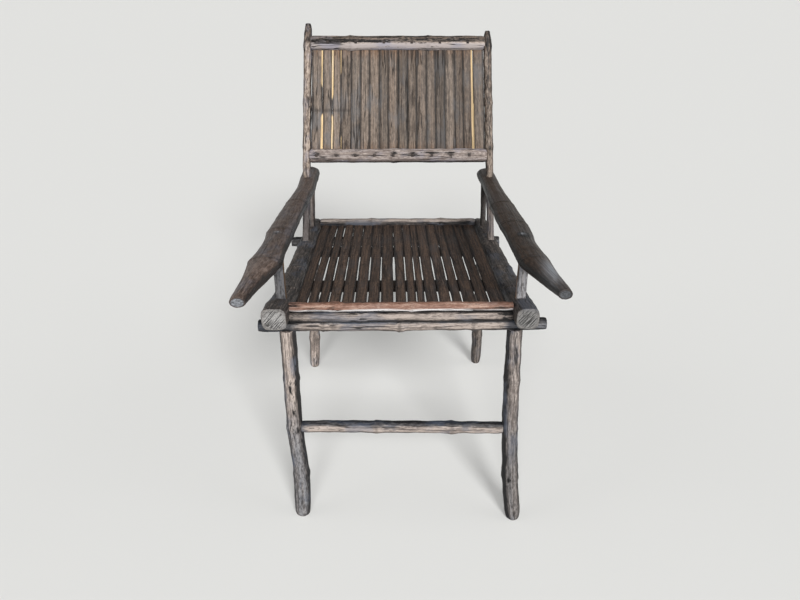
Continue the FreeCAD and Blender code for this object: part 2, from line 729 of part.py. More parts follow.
def build():
    pieces = {}
    peg_holes = {side: pegs(side, tenon_gap) for side in SIDES}
    nail_holes = nails(tenon_gap)
    rails = {side: side_rail(side) for side in SIDES}
    rail_forms = [side_rail(side, curved_gap) for side in SIDES]
    rail_cuts = []

    for end in crossbar_y:
        form = crossbar(end, curved_gap)
        rail_cuts.append(form)
        tenons = [blade(side, tenon_gap) if end == "front" else stub(side, tenon_gap) for side in SIDES]
        pieces[f"{end}_crossbar"] = largest(crossbar(end).cut(tenons))
        for side in SIDES:
            pole = front_leg_pole(side) if end == "front" else rear_leg_pole(side)
            tenon = blade(side) if end == "front" else stub(side)
            leg = pole.cut(form).fuse(tenon)
            pieces[f"{end}_leg_{side}"] = leg.cut(peg_holes[side])
        rail_cuts += tenons

    stretcher_span = {side: front_leg_spine(side, stretcher_height) for side in SIDES}
    (x_left, y_left), (x_right, y_right) = stretcher_span["left"], stretcher_span["right"]

    def stretcher_line(x):
        return (between(x, x_left, x_right, y_left, y_right), stretcher_height)

    body = culm("X", x_left, x_right, stretcher_line, round_bar(stretcher_diameter / 2),
                stretcher_node_sets)
    body = largest(body.cut([front_leg_pole(side, curved_gap) for side in SIDES]))
    inset = front_leg_radius(stretcher_height) - stretcher_tenon_depth
    ends = [Vector(x_left + inset, *stretcher_line(x_left + inset)),
            Vector(x_right - inset, *stretcher_line(x_right - inset))]
    along = (ends[1] - ends[0]).normalize()
    tenon_radius = stretcher_tenon_diameter / 2
    pieces["front_stretcher"] = one_solid(body.fuse(rod(ends[0], ends[1], tenon_radius)))
    socket = rod(ends[0] - along * tenon_gap, ends[1] + along * tenon_gap, tenon_radius + tenon_gap)
    for side in SIDES:
        pieces[f"front_leg_{side}"] = one_solid(pieces[f"front_leg_{side}"].cut(socket))
        pieces[f"rear_leg_{side}"] = one_solid(pieces[f"rear_leg_{side}"])

    grooves = {"seat_front_cap": groove(slat_front_y, 1), "seat_rear_rail": groove(slat_rear_y, -1)}
    for name, (y, z, diameter, nodes) in seat_rails.items():
        body, tenon = seat_rail_parts(y, z, diameter, nodes, 0.0)
        rail = largest(body.cut(rail_forms)).fuse(tenon)
        if name in grooves:
            rail = rail.cut(grooves[name])
        pieces[name] = one_solid(rail)
        rail_cuts.append(seat_rail_parts(y, z, diameter, nodes, tenon_gap)[1])

    for place in batten_y:
        body, tenon = batten_parts(place, 0.0)
        pieces[f"seat_batten_{place}"] = one_solid(largest(body.cut(rail_forms)).fuse(tenon))
        rail_cuts.append(batten_parts(place, tenon_gap)[1])

    for number, slat in enumerate(seat_slats(), 1):
        pieces[f"seat_slat_{number:02d}"] = slat

    post_forms = [post_pole(side, curved_gap) for side in SIDES]
    post_cuts = []
    for level in back_levels:
        for name, face in (("front", -1), ("rear", 1)):
            rail = largest(back_rail(level, face).cut(post_forms)).fuse(back_rail_tenon(level, face))
            pieces[f"back_{level}_rail_{name}"] = one_solid(rail.cut(nail_holes))
            post_cuts.append(back_rail_tenon(level, face, tenon_gap))

    for number, slat in enumerate(back_slats(), 1):
        pieces[f"back_slat_{number:02d}"] = largest(slat.cut(nail_holes))

    for side in SIDES:
        arm_form = arm(side, curved_gap)
        post = post_pole(side).cut(arm_form).fuse(post_tenon(side))
        pieces[f"back_post_{side}"] = one_solid(post.cut(post_cuts + peg_holes[side]))
        tenon_form = post_tenon(side, tenon_gap)
        rail_cuts.append(tenon_form)
        sockets = [blade(side, tenon_gap), stub(side, tenon_gap), tenon_form]
        pieces[f"armrest_{side}"] = largest(arm(side).cut(sockets))

    for side, rail in rails.items():
        pieces[f"side_rail_{side}"] = largest(rail.cut(rail_cuts + peg_holes[side]))

    pieces["tenon_pegs"] = Part.makeCompound([peg for side in SIDES for peg in pegs(side)])
    pieces["back_rail_nails"] = Part.makeCompound(nails())
    return pieces


def hand_over(pieces):
    """Move the chair so that the origin is its bottom centre, and write each piece."""
    box = Part.makeCompound(list(pieces.values())).optimalBoundingBox(False)
    home = Vector(-(box.XMin + box.XMax) / 2, -(box.YMin + box.YMax) / 2, -box.ZMin)
    os.makedirs("parts", exist_ok=True)
    for name, piece in pieces.items():
        piece.translate(home)
        piece.exportStep(f"parts/{name}.step")


hand_over(build())
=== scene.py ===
"""Looks of a rustic bamboo armchair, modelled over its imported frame."""

import math
import random

import bmesh
import bpy
import numpy as np
from bpy.props import FloatProperty, FloatVectorProperty, PointerProperty
from mathutils import Matrix, Vector, noise


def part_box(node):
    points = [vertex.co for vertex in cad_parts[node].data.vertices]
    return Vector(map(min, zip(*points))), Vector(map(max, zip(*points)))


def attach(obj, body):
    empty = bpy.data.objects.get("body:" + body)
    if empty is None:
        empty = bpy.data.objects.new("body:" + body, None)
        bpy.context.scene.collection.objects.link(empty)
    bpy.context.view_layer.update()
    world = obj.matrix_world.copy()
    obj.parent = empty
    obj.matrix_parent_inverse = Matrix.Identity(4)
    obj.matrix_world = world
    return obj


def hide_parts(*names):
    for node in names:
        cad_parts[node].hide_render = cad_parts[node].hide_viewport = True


bl_info = {
    "name": "Rustic Bamboo Armchair",
    "version": (1, 0, 0),
    "blender": (4, 5, 0),
    "location": "View3D > Sidebar > Chair",
    "description": "Weathered culms, slats and fastenings of a bamboo armchair",
    "category": "Add Mesh",
}

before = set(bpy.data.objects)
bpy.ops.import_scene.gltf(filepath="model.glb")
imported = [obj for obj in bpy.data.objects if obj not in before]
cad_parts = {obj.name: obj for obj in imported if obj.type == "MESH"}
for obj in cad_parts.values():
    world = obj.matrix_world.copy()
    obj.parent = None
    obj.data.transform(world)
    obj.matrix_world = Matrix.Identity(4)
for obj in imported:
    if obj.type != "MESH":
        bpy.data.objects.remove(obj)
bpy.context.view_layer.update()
AXES = "XYZ"
SIDES = ("left", "right")
ORIGIN = (0, 0, 0)


def tint(red, green, blue):
    """A colour given as it looks on screen, in the linear values that shaders use."""
    shares = (red / 255, green / 255, blue / 255)
    return tuple(((share + 0.055) / 1.055) ** 2.4 if share > 0.04045 else share / 12.92 for share in shares)


def shaded(paint, share):
    """A colour darkened to a share of itself."""
    return tuple(share * c for c in paint)


# Sizes and colours that a user would change

def length(name, description, default):
    """A size in metres."""
    return FloatProperty(name=name, description=description, default=default, unit="LENGTH",
                         subtype="DISTANCE", precision=4)


def colour(name, description, screen):
    """A colour, given as it looks on screen."""
    return FloatVectorProperty(name=name, description=description, default=tint(*screen), size=3,
                               min=0, max=1, subtype="COLOR")


class ChairSizes(bpy.types.PropertyGroup):
    """Sizes of the surface detail"""
    lip_height: length("Node lip", "Height of the ring at a culm's node", 0.0006)
    ring_step: length("Ring step", "Distance between the rings of a culm", 0.021)
    dent_depth: length("Dents", "Depth of the dents in a culm", 0.0030)
    groove_depth: length("Grooves", "Depth of the grooves along the grain", 0.0012)
    slat_step: length("Slat step", "Distance between the rings of a slat", 0.024)
    slat_wave: length("Slat wave", "How far a slat strays from its line", 0.0008)
    slat_edge: length("Slat edge", "Rounding of a slat's edges", 0.0006)


class ChairColours(bpy.types.PropertyGroup):
    """Colours of the finishes"""
    pole_pale: colour("Pole, pale", "Worn streaks on the poles", (176, 163, 154))
    pole_mid: colour("Pole", "Weathered skin of the poles", (108, 98, 92))
    pole_dark: colour("Pole, dark", "Dark fibres of the poles", (34, 31, 31))
    pole_blue: colour("Pole, silvered", "Blue-grey weathering", (98, 104, 117))
    rail_mid: colour("Side rail", "Weathered skin of the side rails", (64, 58, 55))
    arm_mid: colour("Arm", "Handled skin of the arms", (50, 40, 35))
    seat_mid: colour("Seat slat", "Skin of the seat slats", (53, 43, 37))
    back_mid: colour("Back slat", "Skin of the back slats", (86, 76, 68))
    cap_mid: colour("Seat cap", "Red-brown strip along the seat's front", (116, 84, 70))
    rust: colour("Rust", "Nails and the stains round them", (62, 52, 47))
    floor: colour("Floor", "Plain studio floor", (191, 191, 189))


# Shader maths

class Wire:
    """A node's output; arithmetic on it adds Math nodes."""

    def __init__(self, recipe, socket):
        self.recipe = recipe
        self.socket = socket

    def maths(self, operation, *values):
        return self.recipe.add("ShaderNodeMath", {"operation": operation}, dict(enumerate(values)))

    def __add__(self, other):
        return self.maths("ADD", self, other)

    __radd__ = __add__

    def __sub__(self, other):
        return self.maths("SUBTRACT", self, other)

    def __rsub__(self, other):
        return self.maths("SUBTRACT", other, self)

    def __mul__(self, other):
        return self.maths("MULTIPLY", self, other)

    __rmul__ = __mul__

    def __abs__(self):
        return self.maths("ABSOLUTE", self)

    def step(self, low, high):
        """0 below low, 1 above high, smooth between."""
        return self.recipe.add("ShaderNodeMapRange", {"interpolation_type": "SMOOTHSTEP"},
                               {0: self, 1: low, 2: high})


class Recipe:
    """The node tree of one finish or of the sky."""

    def __init__(self, owner):
        self.owner = owner
        owner.use_nodes = True
        self.tree = owner.node_tree
        self.tree.nodes.clear()

    def add(self, kind, settings=None, inputs=None, output=0):
        """A node of a kind, its settings first, then its sockets' values or links."""
        node = self.tree.nodes.new(kind)
        for key, value in (settings or {}).items():
            setattr(node, key, value)
        for key, value in (inputs or {}).items():
            if isinstance(value, Wire):
                self.tree.links.new(value.socket, node.inputs[key])
            else:
                node.inputs[key].default_value = value
        return Wire(self, node.outputs[output]) if node.outputs else None

    def attribute(self, name):
        return self.add("ShaderNodeAttribute", {"attribute_name": name}, output="Vector")

    def parts(self, vector):
        """A vector's three numbers."""
        whole = self.add("ShaderNodeSeparateXYZ", inputs={0: vector})
        return [Wire(self, socket) for socket in whole.socket.node.outputs]

    def noise(self, vector, repeats, detail=4.0, roughness=0.55):
        """Noise that repeats so many times in a metre along each part of a vector."""
        scaled = self.add("ShaderNodeVectorMath", {"operation": "MULTIPLY"}, {0: vector, 1: repeats})
        return self.add("ShaderNodeTexNoise", inputs={"Vector": scaled, "Scale": 1.0, "Detail": detail,
                                                      "Roughness": roughness})

    def mix(self, share, first, second, blend="MIX"):
        first, second = [c if isinstance(c, Wire) else (*c, 1.0) for c in (first, second)]
        return self.add("ShaderNodeMix", {"data_type": "RGBA", "blend_type": blend},
                        {0: share, 6: first, 7: second}, 2)

    def surface(self, base, rough, height, depth, **constants):
        """Close the recipe: colour, roughness and a bump of a depth in metres."""
        normal = self.add("ShaderNodeBump", inputs={"Height": height, "Distance": depth, "Strength": 1.0})
        shader = self.add("ShaderNodeBsdfPrincipled",
                          inputs={"Base Color": base, "Roughness": rough, "Normal": normal, **constants})
        self.add("ShaderNodeOutputMaterial", inputs={"Surface": shader})
        return self.owner


# Patterns of the skin: repeats in a metre across, across and along the grain, then detail and roughness
STREAKS_ACROSS, STREAKS_ALONG = 115, 5
FIBRE_PATTERN = (480, 480, 16), 5, 0.6
SCALY_PATTERN = (270, 270, 100), 4, 0.65
PATCH_PATTERN = (24, 24, 13), 5, 0.6
SPLIT_PATTERN = (75, 75, 3.4), 3, 0.5
# Patterns of a cut end, the same at any depth
HATCH_PATTERN = (330, 330, 0), 4, 0.6
STROKE_PATTERN = (560, 30, 0), 2, 0.5
STROKE_SLANT = 0.7
# How strongly lines and scales show, and the tone at which the skin is wholly pale or wholly dark
LINE_CONTRAST, SCALE_CONTRAST, FULL_TONE = 3.0, 3.4, 0.85
# Depth of the finest relief, in metres
SKIN_RELIEF, STOCK_RELIEF = 0.0018, 0.0008


def end_grain(make, grain, end, butt, dark, sawn):
    """Colour of a cut end, and the saw strokes that score it."""
    hatch = make.noise(grain, *HATCH_PATTERN)
    slanted = make.add("ShaderNodeMapping", inputs={"Vector": grain, "Rotation": (0.0, 0.0, STROKE_SLANT)})
    stroke = make.noise(slanted, *STROKE_PATTERN).step(0.46, 0.62)
    score = stroke * end.step(0.55, 0.80) * sawn
    grainy = make.mix(hatch.step(0.38, 0.62), shaded(butt, 0.70 if sawn else 0.45), butt)
    return make.mix(score, grainy, dark), score


def bamboo(name, pale, mid, dark, blue, butt, silver=0.5, cracks=0.85, bark=(0.5, 1.0), streaks=1.0,
           fine=1.0, fibres=1.0, sawn=0.0, crisp=False, rough=(0.55, 0.82), shine=0.3,
           wash=(0.64, 0.75, 0.88), cover=False):
    """Weathered bamboo skin: streaks and fibres along the grain, silvering, cracks, rings and end grain.

    The bark is scaly to its first share on bare skin, and to its second where a wash lies on it. A wash
    tints the skin, or covers it. A crisp piece has a ragged border round its end grain.
    """
    make = Recipe(bpy.data.materials.new(name))
    grain = make.attribute("grain")
    ring, end, tone = make.parts(make.attribute("marks"))
    # The third channel holds real wear together with painted light and shade
    stain, washed, wear_and_shading = make.parts(make.attribute("wear"))
    streak = make.noise(grain, (STREAKS_ACROSS * fine, STREAKS_ACROSS * fine, STREAKS_ALONG), 6, 0.65)
    fibre = make.noise(grain, *FIBRE_PATTERN)
    scaly = make.noise(grain, *SCALY_PATTERN)
    patch = make.noise(grain, *PATCH_PATTERN)
    split = make.noise(grain, *SPLIT_PATTERN)

    bare_bark, washed_bark = bark
    scales = (scaly - 0.5) * (bare_bark + washed * (washed_bark - bare_bark))
    lines = ((streak - 0.5) * streaks + (fibre - 0.5) * fibres) * (1 - washed * 0.5)
    light = wear_and_shading + lines * LINE_CONTRAST + scales * SCALE_CONTRAST
    base = make.mix(light.step(0.0, FULL_TONE), mid, pale)
    base = make.mix((0 - light).step(0.0, FULL_TONE), base, dark)
    base = make.mix(patch.step(0.50, 0.66) * silver, base, blue)
    streaky_wash = (washed + (streak - 0.5) * washed * 2).step(0.0, 1.0)
    base = make.mix(streaky_wash, base, wash, "MIX" if cover else "MULTIPLY")

    crack = (1 - abs(split - 0.5).step(0.003, 0.020)) * patch.step(0.40, 0.55)
    base = make.mix(crack * cracks, base, shaded(dark, 0.35))
    base = make.mix(ring, base, dark)
    blotch = (stain + (scaly - 0.5) * 2.0 + (streak - 0.5) * 2.4).step(0.25, 0.75)
    base = make.mix(blotch, base, shaded(dark, 0.55))

    grainy, score = end_grain(make, grain, end, butt, dark, sawn)
    cut = (end + (streak - 0.5) * 0.8).step(0.55, 0.85) if crisp else end
    base = make.mix(cut, base, grainy)
    base = make.add("ShaderNodeVectorMath", {"operation": "SCALE"}, {0: base, "Scale": 1 + tone})
    smoothest, roughest = rough
    roughness = smoothest + streak.step(0.35, 0.70) * (roughest - smoothest) + end * 0.1
    height = streak * 0.6 + fibre * 0.35 + scales * 0.4 - crack * 0.9 - end * score * 0.6
    return make.surface(base, roughness, height, SKIN_RELIEF, **{"Specular IOR Level": shine})


def mottled(name, mid, dark):
    """Whittled peg wood or rusty iron: blotches and fine dark grains, patterned in object space."""
    make = Recipe(bpy.data.materials.new(name))
    place = make.add("ShaderNodeTexCoord", output="Object")
    blotch = make.noise(place, (180, 180, 180), 5, 0.6)
    fine = make.noise(place, (900, 900, 900), 4, 0.6)
    base = make.mix(blotch.step(0.4, 0.65), mid, dark)
    base = make.mix(fine.step(0.55, 0.7) * 0.5, base, shaded(dark, 0.5))
    return make.surface(base, 0.6 + fine * 0.3, fine + blotch, STOCK_RELIEF)


# Finishes, each made from the chair's colours

def weathered_pole(name, paint):
    return bamboo(name, paint.pole_pale, paint.pole_mid, paint.pole_dark, paint.pole_blue,
                  tint(160, 124, 88))


def weathered_rail(name, paint):
    return bamboo(name, tint(112, 104, 98), paint.rail_mid, tint(28, 26, 26), tint(78, 84, 96),
                  tint(160, 158, 156), bark=(1.0, 1.0), sawn=0.85, rough=(0.5, 0.75))


def handled_arm(name, paint):
    return bamboo(name, tint(86, 75, 69), paint.arm_mid, tint(26, 22, 21), tint(84, 90, 102),
                  tint(134, 137, 142), silver=0.25, cracks=0.35, bark=(0.7, 0.7), streaks=0.4, fine=1.6,
                  fibres=0.45, rough=(0.42, 0.62), shine=0.4, wash=(0.95, 0.80, 0.62))


def seat_slat_skin(name, paint):
    return bamboo(name, tint(82, 66, 56), paint.seat_mid, tint(24, 20, 19), tint(62, 60, 62),
                  tint(100, 86, 76), silver=0.3, cracks=0.6, bark=(0.7, 0.7), fine=1.8,
                  rough=(0.62, 0.85), shine=0.2)


def back_slat_skin(name, paint):
    # The pale end colour is painted light along the slat edges at the wide gaps
    return bamboo(name, tint(122, 109, 98), paint.back_mid, tint(44, 38, 34), tint(94, 94, 96),
                  tint(240, 208, 158), streaks=0.55, fine=2.2, crisp=True, bark=(0.7, 0.7),
                  wash=(1.0, 0.74, 0.56))


def back_pole(name, paint):
    return bamboo(name, tint(182, 166, 152), tint(120, 105, 94), tint(34, 29, 27), tint(140, 138, 148),
                  tint(150, 132, 120), bark=(1.4, 0.4), wash=(0.80, 0.86, 1.0))


def worn_cap(name, paint):
    # The white wash is the painted highlight along the cap's lower front
    return bamboo(name, tint(158, 132, 118), paint.cap_mid, tint(52, 38, 33), tint(116, 104, 102),
                  tint(180, 150, 130), silver=0.3, bark=(0.8, 0.4), wash=tint(214, 210, 210), cover=True)


def whittled_peg(name, paint):
    return mottled(name, tint(90, 78, 70), tint(48, 42, 39))


def rusted_iron(name, paint):
    return mottled(name, paint.rust, tint(26, 22, 21))


FINISHES = {maker.__name__: maker for maker in (
    weathered_pole, weathered_rail, handled_arm, seat_slat_skin, back_slat_skin, back_pole, worn_cap,
    whittled_peg, rusted_iron)}


def finish(context, name):
    """The finish of that name, made once."""
    return bpy.data.materials.get(name) or FINISHES[name](name, context.scene.chair_colours)


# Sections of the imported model

shapes = {}


def shape_of(node):
    """Points and triangles of a CAD node."""
    if node not in shapes:
        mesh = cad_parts[node].data
        mesh.calc_loop_triangles()
        points = np.empty(len(mesh.vertices) * 3)
        mesh.vertices.foreach_get("co", points)
        corners = np.empty(len(mesh.loop_triangles) * 3, int)
        mesh.loop_triangles.foreach_get("vertices", corners)
        shapes[node] = points.reshape(-1, 3), corners.reshape(-1, 3)
    return shapes[node]


def section(nodes, axis, place):
    """Middle and half sizes, in the two other directions, of CAD nodes cut at a place along an axis."""
    index = AXES.index(axis)
    others = [i for i in range(3) if i != index]
    found = []
    for node in nodes:
        points, corners = shape_of(node)
        gap = points[:, index] - place
        ends = np.vstack([corners[:, pair] for pair in ((0, 1), (1, 2), (2, 0))])
        ends = ends[(gap[ends[:, 0]] > 0) != (gap[ends[:, 1]] > 0)]
        first, last = ends[:, 0], ends[:, 1]
        share = gap[first] / (gap[first] - gap[last])
        found.append(points[first] + (points[last] - points[first]) * share[:, None])
    found = np.vstack(found)[:, others]
    if not len(found):
        raise RuntimeError(f"{nodes} has no section at {place:.4f} along {axis}")
    low, high = found.min(0), found.max(0)
    return (low + high) / 2, (high - low) / 2


# Gentle curves for shapes and wear

def ramp(values, start, width):
    """0 up to a start and 1 past a width beyond it, straight between; a negative width runs downwards."""
    return np.clip((values - start) / width, 0, 1)


def bell(values, centre, width):
    """1 at a centre, falling off to both sides over about a width."""
    return np.exp(-((values - centre) / width) ** 2)


def blot(points, place, radius):
    """1 at a place, falling off all round over about a radius."""
    return np.exp(-(((points - np.array(place)) / np.array(radius)) ** 2).sum(1))


# Modelling with operators

# Rings at a culm's node, as offsets from it, and how far off the culm's even rings stay
KNUCKLE_RINGS = (-0.011, -0.0045, -0.0012, 0.0014, 0.0055, 0.012)
KNUCKLE_CLEARANCE = 0.013
# A node's lip, a thin ring, a soft swelling and a groove between: share of its height, offset, width
LIP_PARTS = ((1.0, -0.0012, 0.0020), (0.55, 0.006, 0.0055), (-0.45, 0.0014, 0.0012))
# How quickly a culm strays along its length, and how much its size varies
DRIFT_RATE, SIZE_DRIFT = 14, 0.02
# Rings that close an end: share of the ease inwards, and share of the cap's size
END_RINGS = ((0.0, 0.45), (0.0, 0.9), (0.1, 1.0))
# Sections are taken this far inside the ends of a node
SECTION_HOLD = (0.0015, 0.0015)
# Outline of a squared pole and of a slat, for a half size of one
CORNER_ROUNDING = 0.55
SLAT_EDGE_TALL, SLAT_EDGE_OUT, SLAT_UNDERSIDE = 2.1, 1.05, 0.78
# Guide that stretches the grooves along the grain
GUIDE_PLACE, GUIDE_STRETCH = (0.013, 0.027, 0.019), 14.0
# Grain of the dents and of the grooves, in metres
DENT_SIZE, GROOVE_SIZE = 0.030, 0.0055
# Depth of the dents and grooves of a slat
SLAT_DENTS, SLAT_GROOVES = 0.0008, 0.0007
# Points round a slat's first outline, and the narrowing of its ends
SLAT_SIDES, SLAT_CAPS, SLAT_EASE = 10, (0.97, 0.97), 0.003
# How far a leg's pole runs into its crossbar, and where the upper part starts and how far down it runs
POLE_REACH, UPPER_START, UPPER_REACH = 0.006, 0.012, 0.02
# Width of the dark ring at a node, depth of an end's grain along the culm, and blur of the grain's rim
RING_WIDTH, BUTT_DEPTH, RIM_BLUR = 0.0035, 0.004, 0.1
# A rim outside any end, and ends that hide their grain
NO_RIM, NO_BUTTS = 9.0, (False, False)


def lip(offset, height):
    """How far a culm's skin stands out at an offset from a node."""
    return height * sum(share * bell(offset, centre, width) for share, centre, width in LIP_PARTS)


def end_rings(ring, place, cap, ease):
    """Rings that close a culm at a place, outermost first; the ease runs into the culm."""
    _, middle, half = ring
    closing = [(place + ease * inward, middle, half * cap * share) for inward, share in END_RINGS]
    return closing + [(place + ease, middle, half)]


def rings_along(nodes, axis, start, end, reach=(0.0, 0.0), knuckles=(), step=0.021, lip_height=0.0006,
                wander=0.0005, seed=0.0, caps=(0.90, 0.90), ease=0.006, swell=0.0, trim=None,
                hold=SECTION_HOLD):
    """Rings of a culm or slat that follows CAD nodes: place, middle and half sizes of each.

    The piece reaches past its start and end, and narrows to its caps over the ease. A trim gives the
    small shift and growth of the ring at a place.
    """
    places = list(np.linspace(start, end, max(2, round((end - start) / step)) + 1))
    for knuckle in knuckles:
        places = [place for place in places if abs(place - knuckle) > KNUCKLE_CLEARANCE]
        places += [knuckle + offset for offset in KNUCKLE_RINGS]
    rings = []
    for place in sorted(places):
        seen = min(max(place, start + hold[0]), end - hold[1])
        middle, half = section(nodes, axis, seen)
        extra = swell + sum(lip(place - knuckle, lip_height) for knuckle in knuckles)
        drift = noise.noise_vector(Vector((place * DRIFT_RATE, seed, 0.37)))
        middle = middle + np.array((drift.x, drift.y)) * wander
        half = half * (1 + SIZE_DRIFT * drift.z) + extra
        if trim:
            shift, growth = trim(place)
            middle, half = middle + np.array(shift), half + np.array(growth)
        rings.append((place, middle, half))
    bottom, top = start - reach[0], end + reach[1]
    body = [ring for ring in rings if bottom + ease < ring[0] < top - ease]
    low = end_rings(rings[0], bottom, caps[0], ease)
    high = end_rings(rings[-1], top, caps[1], -ease)
    return low + body + high[::-1]


def spot(axis, place, pair):
    """A point from its place along an axis and its two other coordinates."""
    values = [float(v) for v in pair]
    values.insert(AXES.index(axis), float(place))
    return Vector(values)


def select_where(piece, test):
    """Select the points of the piece in edit mode that pass a test of their place."""
    mesh = bmesh.from_edit_mesh(piece.data)
    for vert in mesh.verts:
        vert.select = bool(test(vert.co))
    mesh.select_flush(True)
    bmesh.update_edit_mesh(piece.data)


def flatten_to_slat(piece, axis, crown):
    """Make a round outline a slat's: tall edges, a gentle crown and a flatter underside."""
    across = [0.0 if letter == axis or up else 1.0 for letter, up in zip(AXES, crown)]
    edges = [SLAT_EDGE_TALL if up else SLAT_EDGE_OUT if out else 1.0 for up, out in zip(crown, across)]
    select_where(piece, lambda co: sum(abs(place) * out for place, out in zip(co, across)) > 0.9)
    bpy.ops.transform.resize(value=edges, center_override=ORIGIN)
    select_where(piece, lambda co: co.dot(crown) < -0.7)
    under = [SLAT_UNDERSIDE if up else 1.0 for up in crown]
    bpy.ops.transform.resize(value=under, center_override=ORIGIN)
    bpy.ops.mesh.select_all(action="SELECT")


def first_outline(name, axis, sides, shape, crown):
    """The piece's first ring, with half sizes of one, left open in edit mode."""
    bpy.ops.object.select_all(action="DESELECT")
    if shape == "squared":
        bpy.ops.mesh.primitive_plane_add(size=2.0, enter_editmode=True)
        bpy.ops.mesh.bevel(offset=CORNER_ROUNDING, offset_type="OFFSET", segments=4, affect="VERTICES")
    else:
        bpy.ops.mesh.primitive_circle_add(vertices=sides, radius=1.0, fill_type="NGON", enter_editmode=True)
    piece = bpy.context.object
    piece.name = piece.data.name = name
    if axis != "Z":
        bpy.ops.transform.rotate(value=math.pi / 2, orient_axis="Y" if axis == "X" else "X",
                                 center_override=ORIGIN)
    if shape == "slat":
        flatten_to_slat(piece, axis, crown)
    return piece


def grow(name, axis, rings, sides=16, shape="round", crown=Vector((0, 0, 1))):
    """A culm or slat drawn out ring by ring from its first outline."""
    piece = first_outline(name, axis, sides, shape, crown)
    place, middle, half = rings[0]
    bpy.ops.transform.resize(value=spot(axis, 1.0, half), center_override=ORIGIN)
    at = spot(axis, place, middle)
    bpy.ops.transform.translate(value=at)
    for place, middle, new_half in rings[1:]:
        to = spot(axis, place, middle)
        bpy.ops.mesh.extrude_region_move(TRANSFORM_OT_translate={"value": to - at})
        bpy.ops.transform.resize(value=spot(axis, 1.0, new_half / half), center_override=to)
        at, half = to, new_half
    bpy.ops.mesh.select_all(action="SELECT")
    bpy.ops.mesh.normals_make_consistent(inside=False)
    bpy.ops.object.mode_set(mode="OBJECT")
    return piece


def apply_modifier(piece, kind, **settings):
    modifier = piece.modifiers.new(kind.title(), kind)
    for key, value in settings.items():
        setattr(modifier, key, value)
    bpy.ops.object.modifier_apply(modifier=modifier.name)


def clouds(name, size, depth):
    texture = bpy.data.textures.get(name) or bpy.data.textures.new(name, "CLOUDS")
    texture.noise_scale = size
    texture.noise_depth = depth
    return texture


def grain_guide(axis):
    """An empty whose long axis stretches a texture along the grain."""
    name = f"grain_guide_{axis}"
    guide = bpy.data.objects.get(name)
    if guide is None:
        bpy.ops.object.empty_add(location=GUIDE_PLACE)
        guide = bpy.context.object
        guide.name = name
        guide.scale = [GUIDE_STRETCH if letter == axis else 1.0 for letter in AXES]
        bpy.context.view_layer.update()
    return guide


def weather(piece, axis, dents, grooves, smooth=2, bevel=0.0):
    """Round a grown piece off, then dent it and groove it along the grain."""
    guide = grain_guide(axis)
    bpy.ops.object.select_all(action="DESELECT")
    piece.select_set(True)
    bpy.context.view_layer.objects.active = piece
    if bevel:
        apply_modifier(piece, "BEVEL", width=bevel, segments=2, limit_method="ANGLE",
                       angle_limit=math.radians(40))
    if smooth:
        apply_modifier(piece, "SUBSURF", levels=smooth, render_levels=smooth)
    apply_modifier(piece, "DISPLACE", texture=clouds("dents", DENT_SIZE, 3), texture_coords="LOCAL",
                   strength=dents, mid_level=0.5)
    apply_modifier(piece, "DISPLACE", texture=clouds("grooves", GROOVE_SIZE, 2), texture_coords="OBJECT",
                   texture_coords_object=guide, strength=grooves, mid_level=0.5)
    bpy.ops.object.shade_smooth_by_angle(angle=math.radians(55))


class Skin:
    """A piece's points, and for each its place, its normal and the marks that the finish reads."""

    def __init__(self, piece, tone, wash):
        vertices = piece.data.vertices
        count = len(vertices)
        self.points, self.normals = np.empty((2, count, 3), np.float32)
        vertices.foreach_get("co", self.points.ravel())
        vertices.foreach_get("normal", self.normals.ravel())
        self.x, self.y, self.z = self.points.T
        self.nx, self.ny, self.nz = self.normals.T
        # The fourth of these marks holds real wear together with painted light and shade
        self.ring, self.butt, self.stain, self.wear_and_shading = np.zeros((4, count))
        self.tone = np.full(count, float(tone))
        self.wash = np.full(count, float(wash))


def write_vectors(piece, name, values):
    attribute = piece.data.attributes.new(name, "FLOAT_VECTOR", "POINT")
    attribute.data.foreach_set("vector", np.ascontiguousarray(values, np.float32).ravel())


